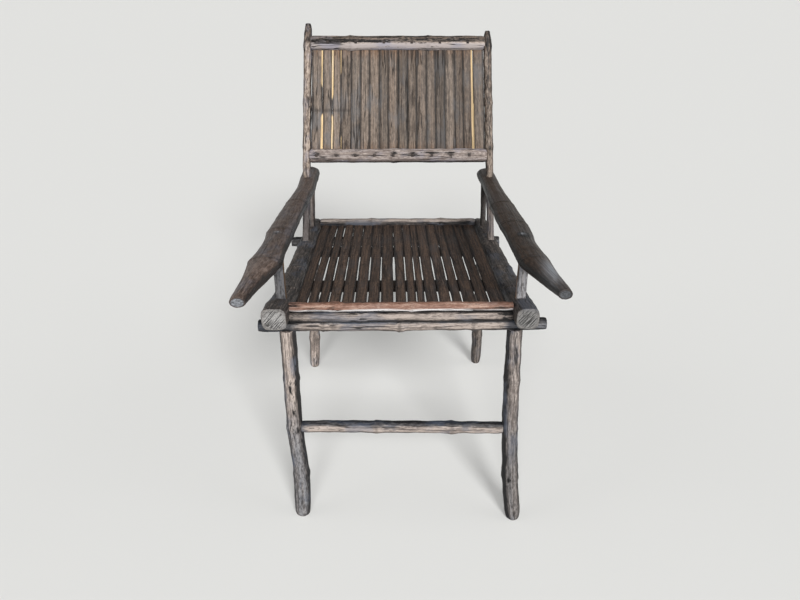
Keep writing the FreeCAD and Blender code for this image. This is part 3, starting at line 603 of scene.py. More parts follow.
# front is the direction towards the camera, along which painted light and shade are laid
def mark(piece, axis, rings, knuckles=(), tone=0.0, seed=0.0, butts=(True, True), wear=None, facing=0.9,
         front=Vector((0, -0.87, 0.49)), ring_dark=0.15, washed=0.0, spots=(), rim=NO_RIM):
    """Write where each point lies on its culm, and its marks, for the finishes to read.

    Butts say which ends show their grain, out to a rim. Painted light and shade: skin turned towards the
    front, or straight away from it, is painted pale, skin at a slant to it is painted dark, and the grazing
    outline is painted a little paler again. Each spot is a place, a radius, the kind of mark and its
    strength. The wear function then changes the marks.
    """
    skin = Skin(piece, tone, washed)
    index = AXES.index(axis)
    first, second = [skin.points[:, i] for i in range(3) if i != index]
    along = skin.points[:, index]
    places = [ring[0] for ring in rings]
    middles = [np.interp(along, places, [ring[1][i] for ring in rings]) for i in range(2)]
    grain = np.stack([first - middles[0], second - middles[1], along], 1)
    rng = random.Random(round(seed * 1000))
    grain += np.array([rng.uniform(-3, 3) for _ in range(3)])
    for knuckle in knuckles:
        skin.ring = np.maximum(skin.ring, ring_dark * bell(along, knuckle, RING_WIDTH))
    turned = ramp(np.abs(skin.normals[:, index]), 0.55, 0.3)
    for shown, place, full in zip(butts, (places[0], places[-1]), (rings[3], rings[-4])):
        if shown:
            _, middle, half = full
            out = np.hypot((first - middle[0]) / half[0], (second - middle[1]) / half[1])
            on_end = turned * (np.abs(along - place) < BUTT_DEPTH)
            skin.butt = np.maximum(skin.butt, on_end * ramp(out, rim, -RIM_BLUR))
    # Painted light and shade: pale where skin turns to the front, dark at a slant, paler again at the
    # grazing outline
    turned_out = np.abs(skin.normals @ np.array(front))
    painted_front_light = 2.2 * turned_out ** 1.5 - 1
    painted_outline_light = 0.9 * bell(turned_out, 0.0, 0.22)
    skin.wear_and_shading += facing * np.minimum(painted_front_light + painted_outline_light, 0.5)
    for place, radius, kind, strength in spots:
        vars(skin)[kind] += strength * blot(skin.points, place, radius)
    if wear:
        wear(skin)
    write_vectors(piece, "grain", grain)
    write_vectors(piece, "marks", np.stack([skin.ring, skin.butt, skin.tone], 1))
    write_vectors(piece, "wear", np.stack([skin.stain, skin.wash, skin.wear_and_shading], 1))


def settle(piece, material, node):
    """Give a finished piece its material, and let it stand for its CAD node."""
    piece.data.materials.clear()
    piece.data.materials.append(material)
    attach(piece, "root")
    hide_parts(node)


def joined(pieces, name):
    """Several grown pieces as one object."""
    bpy.ops.object.select_all(action="DESELECT")
    for piece in pieces:
        piece.select_set(True)
    bpy.context.view_layer.objects.active = pieces[0]
    bpy.ops.object.join()
    pieces[0].name = pieces[0].data.name = name
    return pieces[0]


def culm(context, name, node, axis, start, end, knuckles=(), sides=16, shape="round", dents=1.0, step=None,
         reach=(0.0, 0.0), caps=(0.94, 0.94), ease=0.006, swell=0.0, hold=SECTION_HOLD, lips=1.0, seed=0.0,
         trim=None, **marks):
    """One weathered pole that follows a CAD node along an axis."""
    sizes = context.scene.chair_sizes
    rings = rings_along([node], axis, start, end, reach, knuckles, step or sizes.ring_step,
                        sizes.lip_height * lips, seed=seed, caps=caps, ease=ease, swell=swell,
                        trim=trim, hold=hold)
    piece = grow(name, axis, rings, sides, shape)
    weather(piece, axis, sizes.dent_depth * dents, sizes.groove_depth)
    mark(piece, axis, rings, knuckles, seed=seed, **marks)
    return piece


def stand_flat(piece, dip=0.0004):
    """Press whatever dips to the floor flat on it."""
    bpy.ops.object.mode_set(mode="EDIT")
    select_where(piece, lambda co: co.z < dip)
    bpy.ops.transform.resize(value=(1, 1, 0), center_override=ORIGIN)
    bpy.ops.object.mode_set(mode="OBJECT")


def knot_stains(*knots, depth=0.02):
    """Stains of knots in a pole: each a place, a width, a height and a strength."""
    return [(place, (width, depth, height), "stain", dark) for place, width, height, dark in knots]


def standing_leg(context, kind, side, knuckles, pole_look, upper, upper_look):
    """A leg: its pole up to the crossbar, and the thinner upper part that runs on into the arm."""
    node = f"{kind}_leg_{side}"
    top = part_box(node)[1].z
    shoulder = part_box(f"{kind}_crossbar")[0].z
    pole = culm(context, node + "_pole", node, "Z", 0.0, shoulder, knuckles, reach=(0.0, POLE_REACH),
                butts=(True, False), caps=(0.90, 1.0), lips=0.4, **pole_look)
    stand_flat(pole)
    above = culm(context, f"{node}_{upper}", node, "Z", shoulder + UPPER_START, top,
                 reach=(UPPER_REACH, 0.0), butts=NO_BUTTS, **upper_look)
    leg = joined([pole, above], f"leg_{kind}_{side}")
    settle(leg, finish(context, "weathered_pole"), node)


# Operators, one for each kind of piece

class CHAIR_OT_front_legs(bpy.types.Operator):
    """Bent poles with the flat blades that run up to the arms"""
    bl_idname = "chair.front_legs"
    bl_label = "Front Legs"
    knuckles = (0.096, 0.205, 0.312)
    foot_wash = {"left": 0.85, "right": 0.25}
    pole_wash = {"left": 0.0, "right": 0.3}
    pole_tone = {"left": 0.0, "right": -0.15}
    blade_tone = {"left": -0.50, "right": 0.05}
    blade_gold = {"left": 0.8, "right": 0.4}
    knots = {"left": knot_stains(((-0.2195, -0.2126, 0.2457), 0.004, 0.008, 0.7),
                                 ((-0.2118, -0.2190, 0.2046), 0.004, 0.007, 0.8),
                                 ((-0.2236, -0.2039, 0.2965), 0.003, 0.010, 0.6)),
             "right": knot_stains(((0.2142, -0.2005, 0.3338), 0.005, 0.009, 0.7),
                                  ((0.2112, -0.2309, 0.1864), 0.004, 0.012, 0.6),
                                  ((0.2208, -0.2540, 0.0990), 0.004, 0.008, 0.6))}

    def execute(self, context):
        for number, side in enumerate(SIDES):
            inward = 1 - 2 * number

            def silver_foot_and_inner_shade(skin):
                """Silvered lower half, and painted shade on the inner side, on the left leg above the
                stretcher alone.
                """
                low = ramp(skin.z, 0.30, -0.15)
                inside = ramp(skin.nx * inward, 0.35, 0.25)
                shade = 0.90 - 0.75 * low * (side == "left")
                skin.wash += low * self.foot_wash[side]
                # Painted shade on the inner side, towards the other leg
                skin.wear_and_shading -= 0.2 + inside * shade
                skin.tone -= 0.05 + 0.22 * low

            def golden_inside(skin):
                """A fresh golden face towards the seat."""
                skin.butt = self.blade_gold[side] * ramp(skin.nx * inward, 0.45, 0.3)

            pole_look = dict(seed=1.3 + number, spots=self.knots[side], facing=1.2, swell=0.0008,
                             wear=silver_foot_and_inner_shade, washed=self.pole_wash[side], tone=self.pole_tone[side])
            blade_look = dict(shape="squared", seed=2.3 + number, dents=0.5, facing=1.0, washed=0.9,
                              wear=golden_inside, tone=self.blade_tone[side])
            standing_leg(context, "front", side, self.knuckles, pole_look, "blade", blade_look)
        return {"FINISHED"}


class CHAIR_OT_rear_legs(bpy.types.Operator):
    """Straight poles with the round stubs that run up to the arms"""
    bl_idname = "chair.rear_legs"
    bl_label = "Rear Legs"
    knuckles = (0.096, 0.312)
    pole_tone = {"left": 0.5, "right": -0.5}
    stub_tone = {"left": -0.30, "right": -0.80}

    def execute(self, context):
        for number, side in enumerate(SIDES):
            pole_look = dict(seed=3.3 + number, facing=0.6, swell=0.0006, tone=self.pole_tone[side])
            stub_look = dict(sides=12, seed=4.3 + number, dents=0.4, washed=0.3, tone=self.stub_tone[side])
            standing_leg(context, "rear", side, self.knuckles, pole_look, "stub", stub_look)
        return {"FINISHED"}


class CHAIR_OT_side_rails(bpy.types.Operator):
    """Thick squared poles along the sides of the seat"""
    bl_idname = "chair.side_rails"
    bl_label = "Side Rails"
    knuckles = (-0.0967, 0.0213, 0.1733)
    end_shade = {"left": 0.0, "right": 0.30}

    def execute(self, context):
        def slim_end(place):
            """The right rail is slimmer towards its front end."""
            share = ramp(place, -0.10, -0.12)
            return (-0.0020 * share, -0.0020 * share), (-0.0022 * share, -0.0012 * share)

        for number, side in enumerate(SIDES):
            def scored_end(skin):
                """Cut ends that darken to the rim, the right one darker."""
                face = skin.points[(skin.butt > 0.5) & (skin.y < 0)]
                middle, half = (face.max(0) + face.min(0)) / 2, (face.max(0) - face.min(0)) / 2
                out = np.hypot((skin.x - middle[0]) / half[0], (skin.z - middle[2]) / half[2])
                skin.butt *= 1 - 0.55 * ramp(out, 0.70, 0.30)
                skin.tone -= 0.06 + self.end_shade[side] * skin.butt

            node = f"side_rail_{side}"
            low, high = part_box(node)
            rail = culm(context, f"rail_{side}", node, "Y", low.y, high.y, self.knuckles, shape="squared",
                        seed=5.3 + number, caps=(1.0, 0.9), ease=0.004, dents=1.5, facing=0.5,
                        hold=(0.008, 0.004), trim=slim_end if side == "right" else None, wear=scored_end)
            settle(rail, finish(context, "weathered_rail"), node)
        return {"FINISHED"}


class CHAIR_OT_crossbars(bpy.types.Operator):
    """Round poles from side to side under the rails, and the front stretcher"""
    bl_idname = "chair.crossbars"
    bl_label = "Crossbars"
    # Each bar's knuckles, how far in its full section begins, its tone, its rings' shade, its lips,
    # its swelling, and the turn of the skin at which the painted shade on its slate-blue top begins
    plan = {"front_crossbar": ((-0.1525, -0.0055, 0.1375), 0.0, -0.17, 0.45, 2.0, 0.0, -0.88),
            "rear_crossbar": ((-0.1225, 0.0575), 0.0, -0.15, 0.2, 0.6, 0.0, -0.70),
            "front_stretcher": ((-0.0525, 0.1015), 0.026, -0.15, 0.3, 0.6, 0.0006, -0.88)}
    # How far the stretcher's skin stops short of its ends, which are hidden in the legs
    bare_tip = 0.008

    def execute(self, context):
        for number, (node, look) in enumerate(self.plan.items()):
            knuckles, inset, tone, ring_dark, lips, swell, turn = look

            def banded(skin):
                """Painted shade on the slate-blue tops, pale fronts, and darker blue-grey ends, the right
                ones lighter.
                """
                # Painted shade: tops turned upwards get the slate-blue wash and go darker
                over = ramp(skin.ny, turn, 0.28) * (skin.nz > 0)
                out = ramp(np.abs(skin.x), 0.19, 0.03)
                skin.wash += 0.9 * np.maximum(over, out)
                skin.wear_and_shading += 0.1 - 0.8 * over - 0.3 * out
                skin.tone -= 0.15 * over + out * (0.45 - 0.22 * (skin.x > 0))

            low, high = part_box(node)
            reach = max(inset - self.bare_tip, 0.0)
            bar = culm(context, f"bar_{node}", node, "X", low.x + inset, high.x - inset, knuckles,
                       seed=6.3 + number, tone=tone, reach=(reach, reach), butts=NO_BUTTS,
                       ring_dark=ring_dark, lips=lips, hold=(0.004, 0.004), wear=banded, swell=swell)
            settle(bar, finish(context, "weathered_pole"), node)
        return {"FINISHED"}


class CHAIR_OT_seat_rails(bpy.types.Operator):
    """Rails and battens between the side rails"""
    bl_idname = "chair.seat_rails"
    bl_label = "Seat Rails"
    # How far in a full section begins, and how far the skin stops short of the ends
    inset, bare_tip = 0.022, 0.002
    battens = ("seat_batten_front", "seat_batten_rear")

    def execute(self, context):
        def painted_lip_highlight(skin):
            """A painted white highlight along the cap's lower front, broken here and there."""
            broken = np.array([noise.noise(Vector((float(x) * 11, 3.1, 0.0))) for x in skin.x])
            # Painted highlight on the lower front face
            highlight_share = ramp(-skin.nz, 0.05, 0.3) * (skin.ny < 0)
            skin.wash += highlight_share * np.clip(1.0 + 1.2 * broken, 0.3, 1.0)
            skin.stain += 0.25 * ramp(np.abs(skin.x + 0.006), 0.178, 0.012)
            skin.wear_and_shading *= 0.5

        def dark_ends(skin):
            """Dark corners by the side rails, a painted shadow line along the top under the cap, and
            painted shade along the underside.
            """
            skin.stain += 0.55 * ramp(np.abs(skin.x), 0.165, 0.03)
            # Painted shadow under the cap, and painted shade on the underside
            skin.wear_and_shading -= ramp(-skin.nz, 0.15, 0.3) + ramp(skin.nz, 0.8, 0.15)

        def painted_shade_below(skin):
            """A pale top over a lower half darkened with painted shade."""
            # Painted shade: darker wherever the skin turns away from the top
            skin.wear_and_shading += 0.3 - 1.5 * ramp(skin.nz, 0.75, -0.3)

        pole, cap = ("weathered_pole", "frame_culm"), ("worn_cap", "seat_cap")
        plan = {"seat_front_rail": ((-0.0775, 0.0595), pole, -0.22, 0.0008, dark_ends),
                "seat_front_cap": ((-0.1305, 0.0175), cap, 0.0, 0.0005, painted_lip_highlight),
                "seat_rear_rail": ((-0.0685, 0.1095), pole, -0.35, 0.0, painted_shade_below)}
        reach = self.inset - self.bare_tip
        for number, (node, look) in enumerate(plan.items()):
            knuckles, (finish_name, slot), tone, swell, wear = look
            low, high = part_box(node)
            rail = culm(context, f"bar_{node}", node, "X", low.x + self.inset, high.x - self.inset,
                        knuckles, sides=12, seed=9.3 + number, tone=tone, reach=(reach, reach),
                        butts=NO_BUTTS, swell=swell, wear=wear, dents=0.7)
            settle(rail, finish(context, finish_name), node)
        for number, node in enumerate(self.battens):
            low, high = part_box(node)
            seed = 12.3 + number
            rings = rings_along([node], "X", low.x + self.inset, high.x - self.inset,
                                (self.inset / 2, self.inset / 2), step=0.04, seed=seed)
            batten = grow(f"strip_{node}", "X", rings, SLAT_SIDES, "slat", Vector((0, 0, -1)))
            weather(batten, "X", dents=0.0006, grooves=0.0005, smooth=0, bevel=0.001)
            mark(batten, "X", rings, tone=-0.4, seed=seed, butts=NO_BUTTS, facing=0.0)
            settle(batten, finish(context, "seat_slat_skin"), node)
        return {"FINISHED"}


class CHAIR_OT_arms(bpy.types.Operator):
    """Knobbly arms that taper to a blunt tip"""
    bl_idname = "chair.arms"
    bl_label = "Arms"
    knuckles = {"left": (-0.2280, -0.0867, 0.0833), "right": (-0.2380, -0.0567, 0.0633)}
    # The right arm's pale spot near its tip is a painted highlight
    knots = {"left": (((-0.2385, -0.1145, 0.5962), 0.008, "stain", 0.9),
                      ((-0.2354, -0.2761, 0.5990), 0.005, "wear_and_shading", 0.8)),
             "right": (((0.2280, -0.1340, 0.5989), 0.013, "stain", 1.5),
                       ((0.2470, -0.2471, 0.6012), 0.007, "wear_and_shading", 0.6))}
    # Pale flecks at the knots, and on the right arm a long painted sheen highlight along its front (the
    # last entry)
    scars_and_sheen = {"left": (((-0.2373, -0.1093, 0.596), (0.007, 0.004, 0.010), 0.5),),
             "right": (((0.2262, -0.1300, 0.599), (0.006, 0.005, 0.010), 1.0),
                       ((0.2450, -0.2950, 0.603), (0.015, 0.050, 0.020), 1.0))}
    tone = {"left": 0.26, "right": -0.50}
    washed = {"left": 0.1, "right": 0.8}
    tip_shift = {"left": 0.0016, "right": 0.0}
    tip_growth = {"left": 0.0018, "right": 0.0010}

    def execute(self, context):
        for number, side in enumerate(SIDES):
            inward = 1 - 2 * number

            def arm_wear_and_shading(skin):
                """Painted shade on the inner side, a paler left tip, dark ends, knot flecks, and a painted
                sheen on the right tip.
                """
                # Painted shade on the inner side
                inner = ramp(skin.nx * inward, 0.55, 0.30)
                tip = ramp(skin.y, -0.20, -0.05) * (side == "left")
                skin.wear_and_shading -= 0.6 * inner
                skin.tone += 0.5 * tip
                skin.tone -= (0.45 * skin.butt + (0.65 - 0.40 * tip) * inner) * (1 + skin.tone)
                for place, radius, share in self.scars_and_sheen[side]:
                    scar_and_sheen = share * blot(skin.points, place, radius)
                    skin.butt = np.maximum(skin.butt, scar_and_sheen)
                    skin.tone += 0.6 * scar_and_sheen

            def full_tip(place):
                """Arms are fuller towards their tips, the left one on its inner side."""
                share = ramp(place, -0.16, -0.05)
                return (self.tip_shift[side] * share, 0.0), (self.tip_growth[side] * share, 0.0)

            node = f"armrest_{side}"
            low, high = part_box(node)
            arm = culm(context, f"arm_{side}", node, "Y", low.y, high.y, self.knuckles[side], sides=24,
                       seed=14.3 + number, step=0.014, caps=(1.0, 0.95), ease=0.004, facing=0.7, dents=0.6,
                       lips=1.6, front=Vector((0, -0.3, 0.95)), ring_dark=0.6, spots=self.knots[side],
                       hold=(0.006, 0.006), tone=self.tone[side], washed=self.washed[side], rim=0.78,
                       swell=0.0010, wear=arm_wear_and_shading, trim=full_tip)
            settle(arm, finish(context, "handled_arm"), node)
        return {"FINISHED"}


class CHAIR_OT_back_posts(bpy.types.Operator):
    """Reclined posts that pass through the arms into the side rails"""
    bl_idname = "chair.back_posts"
    bl_label = "Back Posts"
    pole_foot, tenon_head = 0.598, 0.555
    knuckles = (0.650, 0.742, 0.862)
    pole_tone = {"left": -0.15, "right": -0.45}
    tenon_tone = {"left": -0.66, "right": -0.52}
    tenon_wash = {"left": 1.0, "right": 0.6}
    top_reach = {"left": 0.0, "right": 0.008}
    knots = {"left": knot_stains(((-0.2069, 0.3410, 0.8743), 0.004, 0.009, 0.8),
                                 ((-0.2110, 0.2952, 0.7505), 0.004, 0.010, 0.8)),
             "right": knot_stains(((0.2078, 0.2920, 0.7441), 0.004, 0.010, 0.8),
                                  ((0.2118, 0.2562, 0.6487), 0.005, 0.009, 0.8),
                                  ((0.2011, 0.3370, 0.8644), 0.004, 0.008, 0.7))}

    def execute(self, context):
        for number, side in enumerate(SIDES):
            node = f"back_post_{side}"
            low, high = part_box(node)

            def dark_top(skin):
                """Posts darken over their last few centimetres."""
                skin.wear_and_shading -= 0.2 + 0.9 * ramp(skin.z, high.z - 0.045, 0.03)

            pole = culm(context, node + "_pole", node, "Z", self.pole_foot, high.z, self.knuckles, sides=14,
                        seed=16.3 + number, reach=(0.02, self.top_reach[side]), caps=(1.0, 0.72),
                        ease=0.011, butts=NO_BUTTS, spots=self.knots[side], facing=1.2, dents=0.7, lips=0.5,
                        tone=self.pole_tone[side], wear=dark_top)
            tenon = culm(context, node + "_tenon", node, "Z", low.z, self.tenon_head, shape="squared",
                         seed=17.3 + number, reach=(0.0, 0.02), dents=0.4, butts=NO_BUTTS,
                         tone=self.tenon_tone[side], washed=self.tenon_wash[side])
            post = joined([pole, tenon], f"post_{side}")
            settle(post, finish(context, "back_pole"), node)
        return {"FINISHED"}


def nail_places(rail_height, near=0.06, apart=0.004):
    """Places across the chair of the nails in the back rail at that height."""
    points = shape_of("back_rail_nails")[0]
    across = np.sort(points[np.abs(points[:, 2] - rail_height) < near][:, 0])
    groups = np.split(across, np.where(np.diff(across) > apart)[0] + 1)
    return [float(group.mean()) for group in groups]


class CHAIR_OT_back_rails(bpy.types.Operator):
    """Split culms that grip the back slats, front half and rear half"""
    bl_idname = "chair.back_rails"
    bl_label = "Back Rails"
    recline = math.radians(20.5)
    # How far in a full section begins, and how far the skin stops short of the ends
    inset, bare_tip = 0.02, 0.006
    # Place across the chair where the whole culm's section is taken
    plain_stretch = 0.03
    # Half thickness and half height of the whole culm, and half the gap that the slats fill
    culm_half = np.array((0.012, 0.0165))
    half_gap = 0.0024
    knuckles = {"bottom": (-0.0125,), "top": (-0.1105, 0.0675)}
    tone = {"bottom": -0.05, "top": -0.12}
    chips = (-0.118, 0.1256)

    def spots_on(self, level, height):
        """Pale chips on the upper rail, and stains round the nails of the lower one."""
        if level == "top":
            places, rise, radius, kind, strength = self.chips, 0.005, (0.003, 0.006, 0.003), "wear_and_shading", 3.0
        else:
            places, rise, radius = nail_places(height), 0.003, (0.013, 0.012, 0.0065)
            kind, strength = "stain", 0.75
        return [((place, -0.011, rise), radius, kind, strength) for place in places]

    def split(self, face):
        """Cut a whole culm down to the half on one face of the slats."""
        bpy.ops.object.mode_set(mode="EDIT")
        bpy.ops.mesh.select_all(action="SELECT")
        bpy.ops.mesh.bisect(plane_co=(0, face * self.half_gap, 0), plane_no=(0, face, 0), clear_inner=True,
                            use_fill=True)
        bpy.ops.mesh.select_all(action="SELECT")
        bpy.ops.object.mode_set(mode="OBJECT")

    def execute(self, context):
        sizes = context.scene.chair_sizes

        def dark_above(skin):
            """A stained upper half over a pale lower half."""
            upper = ramp(skin.z, -0.004, 0.006)
            skin.stain += upper * 0.62
            skin.wash += 1 - upper
            skin.wear_and_shading += (1 - upper) * 0.8

        def dark_below(skin):
            """A washed front with a stained lower edge."""
            skin.wash += 0.65 + ramp(skin.z, -0.007, -0.006) * 0.3
            skin.stain += ramp(skin.z, -0.011, -0.004) * 0.5

        reach = self.inset - self.bare_tip
        for number, (level, wear) in enumerate((("bottom", dark_below), ("top", dark_above))):
            nodes = [f"back_{level}_rail_front", f"back_{level}_rail_rear"]
            seed = 18.3 + number
            low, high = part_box(nodes[0])
            middle, full = section(nodes, "X", self.plain_stretch)
            followed = rings_along(nodes, "X", low.x + self.inset, high.x - self.inset, (reach, reach),
                                   self.knuckles[level], sizes.ring_step, sizes.lip_height, seed=seed)
            rings = [(place, np.zeros(2), self.culm_half * half[1] / full[1])
                     for place, _, half in followed]
            leaning = Matrix.Translation((0, *middle)) @ Matrix.Rotation(-self.recline, 4, "X")
            for face, name in ((-1, "front"), (1, "rear")):
                half_culm = grow(f"rail_{level}_{name}", "X", rings)
                weather(half_culm, "X", sizes.dent_depth * 0.6, sizes.groove_depth)
                self.split(face)
                mark(half_culm, "X", rings, self.knuckles[level], self.tone[level], seed, NO_BUTTS, wear,
                     front=Vector((0, -0.95, 0.3)), facing=0.6, spots=self.spots_on(level, middle[1]))
                half_culm.data.transform(leaning)
                settle(half_culm, finish(context, "back_pole"), f"back_{level}_rail_{name}")
        return {"FINISHED"}


def edge_share(points, along, across, rings, side=0):
    """How near each point lies to a slat's edges, or to one of them: 1 on the edge."""
    places = [ring[0] for ring in rings]
    middle = np.interp(points[:, along], places, [ring[1][0] for ring in rings])
    half = np.interp(points[:, along], places, [ring[2][0] for ring in rings])
    offset = (points[:, across] - middle) / half
    return offset * side if side else np.abs(offset)


class CHAIR_OT_seat_slats(bpy.types.Operator):
    """Split slats of the seat, crowned upwards"""
    bl_idname = "chair.seat_slats"
    bl_label = "Seat Slats"
    count = 17
    # Slats at the widest gap and two that stay apart: their shift and growth towards the back posts
    shifts = {8: 0.0006, 9: -0.0006}
    spreads = {3: 0.0002, 4: 0.0002, 8: 0.0013, 9: 0.0013}

    def execute(self, context):
        sizes = context.scene.chair_sizes
        crown = Vector((0, 0, 1))
        rng = random.Random(41)
        for number in range(1, self.count + 1):
            node = f"seat_slat_{number:02d}"
            low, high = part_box(node)
            seed = 30.3 + number

            def closing(place):
                """Slats close up towards the back posts, the two at the widest gap most and two little."""
                share = ramp(place, 0.05, 0.10)
                growth = 0.0005 + self.spreads.get(number, 0.0008) * share
                return (self.shifts.get(number, 0.0) * share, 0.0), (growth, 0.0)

            def dark_edges(skin):
                """Dark edges, and a darker seat towards the back."""
                skin.wear_and_shading -= ramp(edge_share(skin.points, 1, 0, rings), 0.86, 0.08)
                skin.tone += 0.1 - 0.15 * ramp(skin.y, 0.02, 0.2)

            rings = rings_along([node], "Y", low.y, high.y, step=sizes.slat_step, wander=sizes.slat_wave,
                                seed=seed, caps=SLAT_CAPS, ease=SLAT_EASE, trim=closing)
            slat = grow(f"slat_seat_{number:02d}", "Y", rings, SLAT_SIDES, "slat", crown)
            weather(slat, "Y", SLAT_DENTS, SLAT_GROOVES, smooth=0, bevel=sizes.slat_edge)
            mark(slat, "Y", rings, tone=rng.uniform(-0.22, 0.22), seed=seed, front=crown, facing=0.5,
                 wear=dark_edges)
            settle(slat, finish(context, "seat_slat_skin"), node)
        return {"FINISHED"}


class CHAIR_OT_back_slats(bpy.types.Operator):
    """Split slats of the back, crowned to the front"""
    bl_idname = "chair.back_slats"
    bl_label = "Back Slats"
    count = 18
    # Slats from the left that show a node, and its height as a share of theirs
    noded, node_share = 4, 0.42
    # Painted light along the edges of some slats at the wide gaps: which side, from and to which share of
    # the height, and how far it fades inwards as a share of the half width
    fresh = {1: ((1, 0.58, 1.0, 5 / 6), (1, 0.0, 0.41, 5 / 6)),
             2: ((-1, 0.0, 0.41, 0.4), (1, 0.48, 1.0, 0.4), (1, 0.0, 0.40, 0.4)),
             3: ((-1, 0.48, 1.0, 0.4), (-1, 0.0, 0.40, 0.4), (1, 0.7, 1.0, 0.4)),
             4: ((-1, 0.0, 0.25, 0.4),),
             17: ((1, 0.0, 0.97, 1.0),),
             18: ((-1, 0.0, 0.5, 0.4),)}
    nudges = {1: -0.0006, 18: 0.0007}

    def execute(self, context):
        sizes = context.scene.chair_sizes
        rng = random.Random(43)
        for number in range(1, self.count + 1):
            node = f"back_slat_{number:02d}"
            low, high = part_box(node)
            tall = high.z - low.z
            seed = 60.3 + number
            washed = rng.uniform(0.0, 0.45)

            def edges_and_gap_light(skin):
                """Warm tops and feet, dark edges, and painted light along the edges at the wide gaps."""
                rise = skin.z
                skin.wash += washed * 0.6 + 0.6 * bell(rise, high.z - 0.022, 0.018)
                skin.wash += 0.5 * bell(rise, low.z + 0.02, 0.016)
                skin.wear_and_shading -= 1.5 * ramp(edge_share(skin.points, 2, 0, rings), 0.80, 0.08)
                share = (rise - low.z) / tall
                for side, foot, head, fade in self.fresh.get(number, ()):
                    # Painted light from behind along the edges at the wide gaps
                    edge = ramp(edge_share(skin.points, 2, 0, rings, side), 1 - fade, fade)
                    span = ramp(share, foot - 0.04, 0.08) * ramp(share, head + 0.04, -0.08)
                    skin.butt = np.maximum(skin.butt, edge * span)

            def closing(place):
                """Slats close up towards their feet, and the outer two against the posts."""
                spread = (0.0016 if number in self.fresh else 0.0008) + 0.0006 * (high.z - place) / tall
                spread += 0.0009 if number in self.nudges else 0.0
                return (self.nudges.get(number, 0.0), 0.0), (spread, 0.0)

            knuckles = (low.z + self.node_share * tall,) if number <= self.noded else ()
            rings = rings_along([node], "Z", low.z, high.z, knuckles=knuckles, step=sizes.slat_step,
                                lip_height=0.0002, wander=sizes.slat_wave * 0.3, seed=seed,
                                caps=SLAT_CAPS, ease=SLAT_EASE, trim=closing)
            slat = grow(f"slat_back_{number:02d}", "Z", rings, SLAT_SIDES, "slat", Vector((0, -1, 0)))
            weather(slat, "Z", SLAT_DENTS, SLAT_GROOVES, smooth=0, bevel=sizes.slat_edge)
            tone = rng.uniform(-0.26, 0.26) + 0.11 - 0.021 * number
            mark(slat, "Z", rings, knuckles, tone, seed, NO_BUTTS, edges_and_gap_light,
                 front=Vector((0, -0.94, 0.35)), facing=0.6, ring_dark=0.6)
            settle(slat, finish(context, "back_slat_skin"), node)
        return {"FINISHED"}


class CHAIR_OT_fastenings(bpy.types.Operator):
    """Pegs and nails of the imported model, with their finishes"""
    bl_idname = "chair.fastenings"
    bl_label = "Fastenings"

    def execute(self, context):
        for node, finish_name in (("tenon_pegs", "whittled_peg"), ("back_rail_nails", "rusted_iron")):
            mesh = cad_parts[node].data
            mesh.materials.clear()
            mesh.materials.append(finish(context, finish_name))
        return {"FINISHED"}


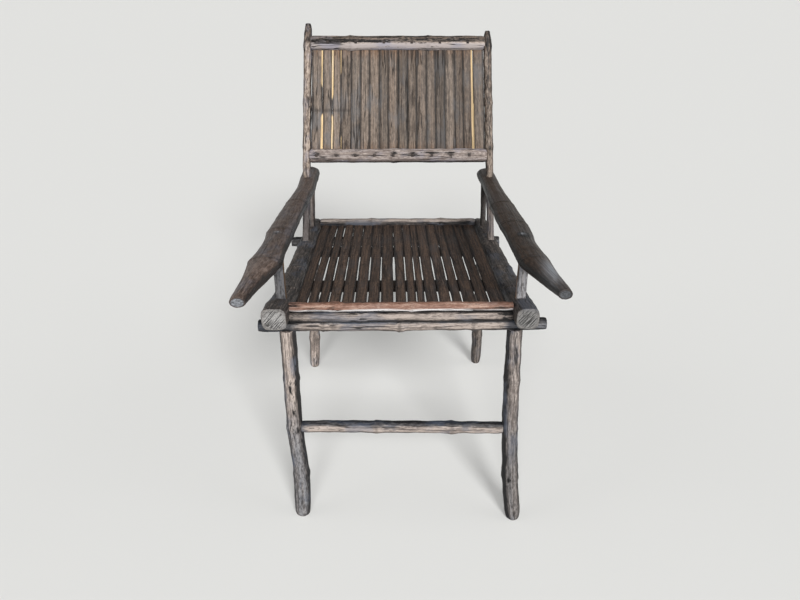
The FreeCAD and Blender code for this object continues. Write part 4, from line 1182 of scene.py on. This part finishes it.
class CHAIR_OT_stage(bpy.types.Operator):
    """Pale floor, soft light and the camera"""
    bl_idname = "chair.stage"
    bl_label = "Stage"
    floor_size = 80.0
    floor_painted_glow = 0.166
    sky_pale, sky_dark = (0.74, 0.74, 0.73), (0.15, 0.15, 0.15)
    # Each sun's turn to the right and rise in degrees, its strength, and its width in degrees
    suns = {"key": (18, 35, 3.2, 18), "fill": (-10, 35, 1.15, 16),
            "left_fill": (-85, 30, 0.45, 40), "right_fill": (85, 30, 0.45, 40)}
    # The camera's place in metres, its turn, dip and roll in degrees, and its lens in millimetres
    eye = (-0.02566, -1.30415, 1.11200)
    turn, dip, roll = -1.0443, 29.0901, 0.1922
    lens, sensor = 30.679, 36.0

    def add_floor(self, context):
        """A plain sheet with a little painted glow, which lightens the shadows on it and keeps its far edge
        as pale as the rest.
        """
        bpy.ops.object.select_all(action="DESELECT")
        bpy.ops.mesh.primitive_plane_add(size=self.floor_size, location=ORIGIN)
        floor = context.object
        floor.name = "studio_floor"
        make = Recipe(bpy.data.materials.new("floor_paper"))
        place = make.add("ShaderNodeTexCoord", output="Object")
        fine = make.noise(place, (60, 60, 60), 2)
        pale = context.scene.chair_colours.floor
        base = make.mix(fine, pale, shaded(pale, 0.995))
        floor.data.materials.append(make.surface(base, 0.9, fine, 0.00002, **{
            "Specular IOR Level": 0.0, "Emission Color": (1.0, 1.0, 0.98, 1.0),
            "Emission Strength": self.floor_painted_glow}))

    def add_light(self, context):
        """A room that is pale at the horizon and dark above, and four suns."""
        sky = Recipe(bpy.data.worlds.new("soft_room"))
        height = sky.parts(sky.add("ShaderNodeTexCoord", output="Generated"))[2]
        shade = sky.mix(height.step(0.10, 0.45), self.sky_pale, self.sky_dark)
        room = sky.add("ShaderNodeBackground", inputs={"Color": shade, "Strength": 1.0})
        sky.add("ShaderNodeOutputWorld", inputs={"Surface": room})
        context.scene.world = sky.owner
        for name, (turn, rise, power, width) in self.suns.items():
            bpy.ops.object.light_add(type="SUN", rotation=(math.radians(90 - rise), 0, math.radians(turn)))
            sun = context.object
            sun.name = name
            sun.data.energy = power
            sun.data.angle = math.radians(width)

    def add_camera(self, context):
        bpy.ops.object.camera_add(location=self.eye)
        camera = context.object
        camera.rotation_euler = (Matrix.Rotation(math.radians(self.turn), 3, "Z")
                                 @ Matrix.Rotation(math.radians(90 - self.dip), 3, "X")
                                 @ Matrix.Rotation(math.radians(self.roll), 3, "Z")).to_euler()
        camera.data.lens = self.lens
        camera.data.sensor_width = self.sensor
        context.scene.camera = camera

    def execute(self, context):
        self.add_floor(context)
        self.add_light(context)
        self.add_camera(context)
        context.scene.view_settings.view_transform = "Standard"
        return {"FINISHED"}


class CHAIR_PT_panel(bpy.types.Panel):
    """Lists the chair's pieces, sizes and colours"""
    bl_idname = "CHAIR_PT_panel"
    bl_label = "Bamboo Armchair"
    bl_space_type = "VIEW_3D"
    bl_region_type = "UI"
    bl_category = "Chair"

    def draw(self, context):
        for operator in OPERATORS:
            self.layout.operator(operator.bl_idname)
        for group in (context.scene.chair_sizes, context.scene.chair_colours):
            column = self.layout.column()
            for name in group.__annotations__:
                column.prop(group, name)


OPERATORS = (CHAIR_OT_front_legs, CHAIR_OT_rear_legs, CHAIR_OT_side_rails, CHAIR_OT_crossbars,
             CHAIR_OT_seat_rails, CHAIR_OT_arms, CHAIR_OT_back_posts, CHAIR_OT_back_rails,
             CHAIR_OT_seat_slats, CHAIR_OT_back_slats, CHAIR_OT_fastenings, CHAIR_OT_stage)
CLASSES = (ChairSizes, ChairColours, *OPERATORS, CHAIR_PT_panel)


def register():
    for kind in CLASSES:
        bpy.utils.register_class(kind)
    bpy.types.Scene.chair_sizes = PointerProperty(type=ChairSizes)
    bpy.types.Scene.chair_colours = PointerProperty(type=ChairColours)


def unregister():
    del bpy.types.Scene.chair_sizes
    del bpy.types.Scene.chair_colours
    for kind in reversed(CLASSES):
        bpy.utils.unregister_class(kind)


def main():
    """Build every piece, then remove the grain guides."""
    register()
    for operator in OPERATORS:
        group, name = operator.bl_idname.split(".")
        getattr(getattr(bpy.ops, group), name)()
    for axis in AXES:
        guide = bpy.data.objects.get(f"grain_guide_{axis}")
        if guide:
            bpy.data.objects.remove(guide)


if __name__ == "__main__":
    main()
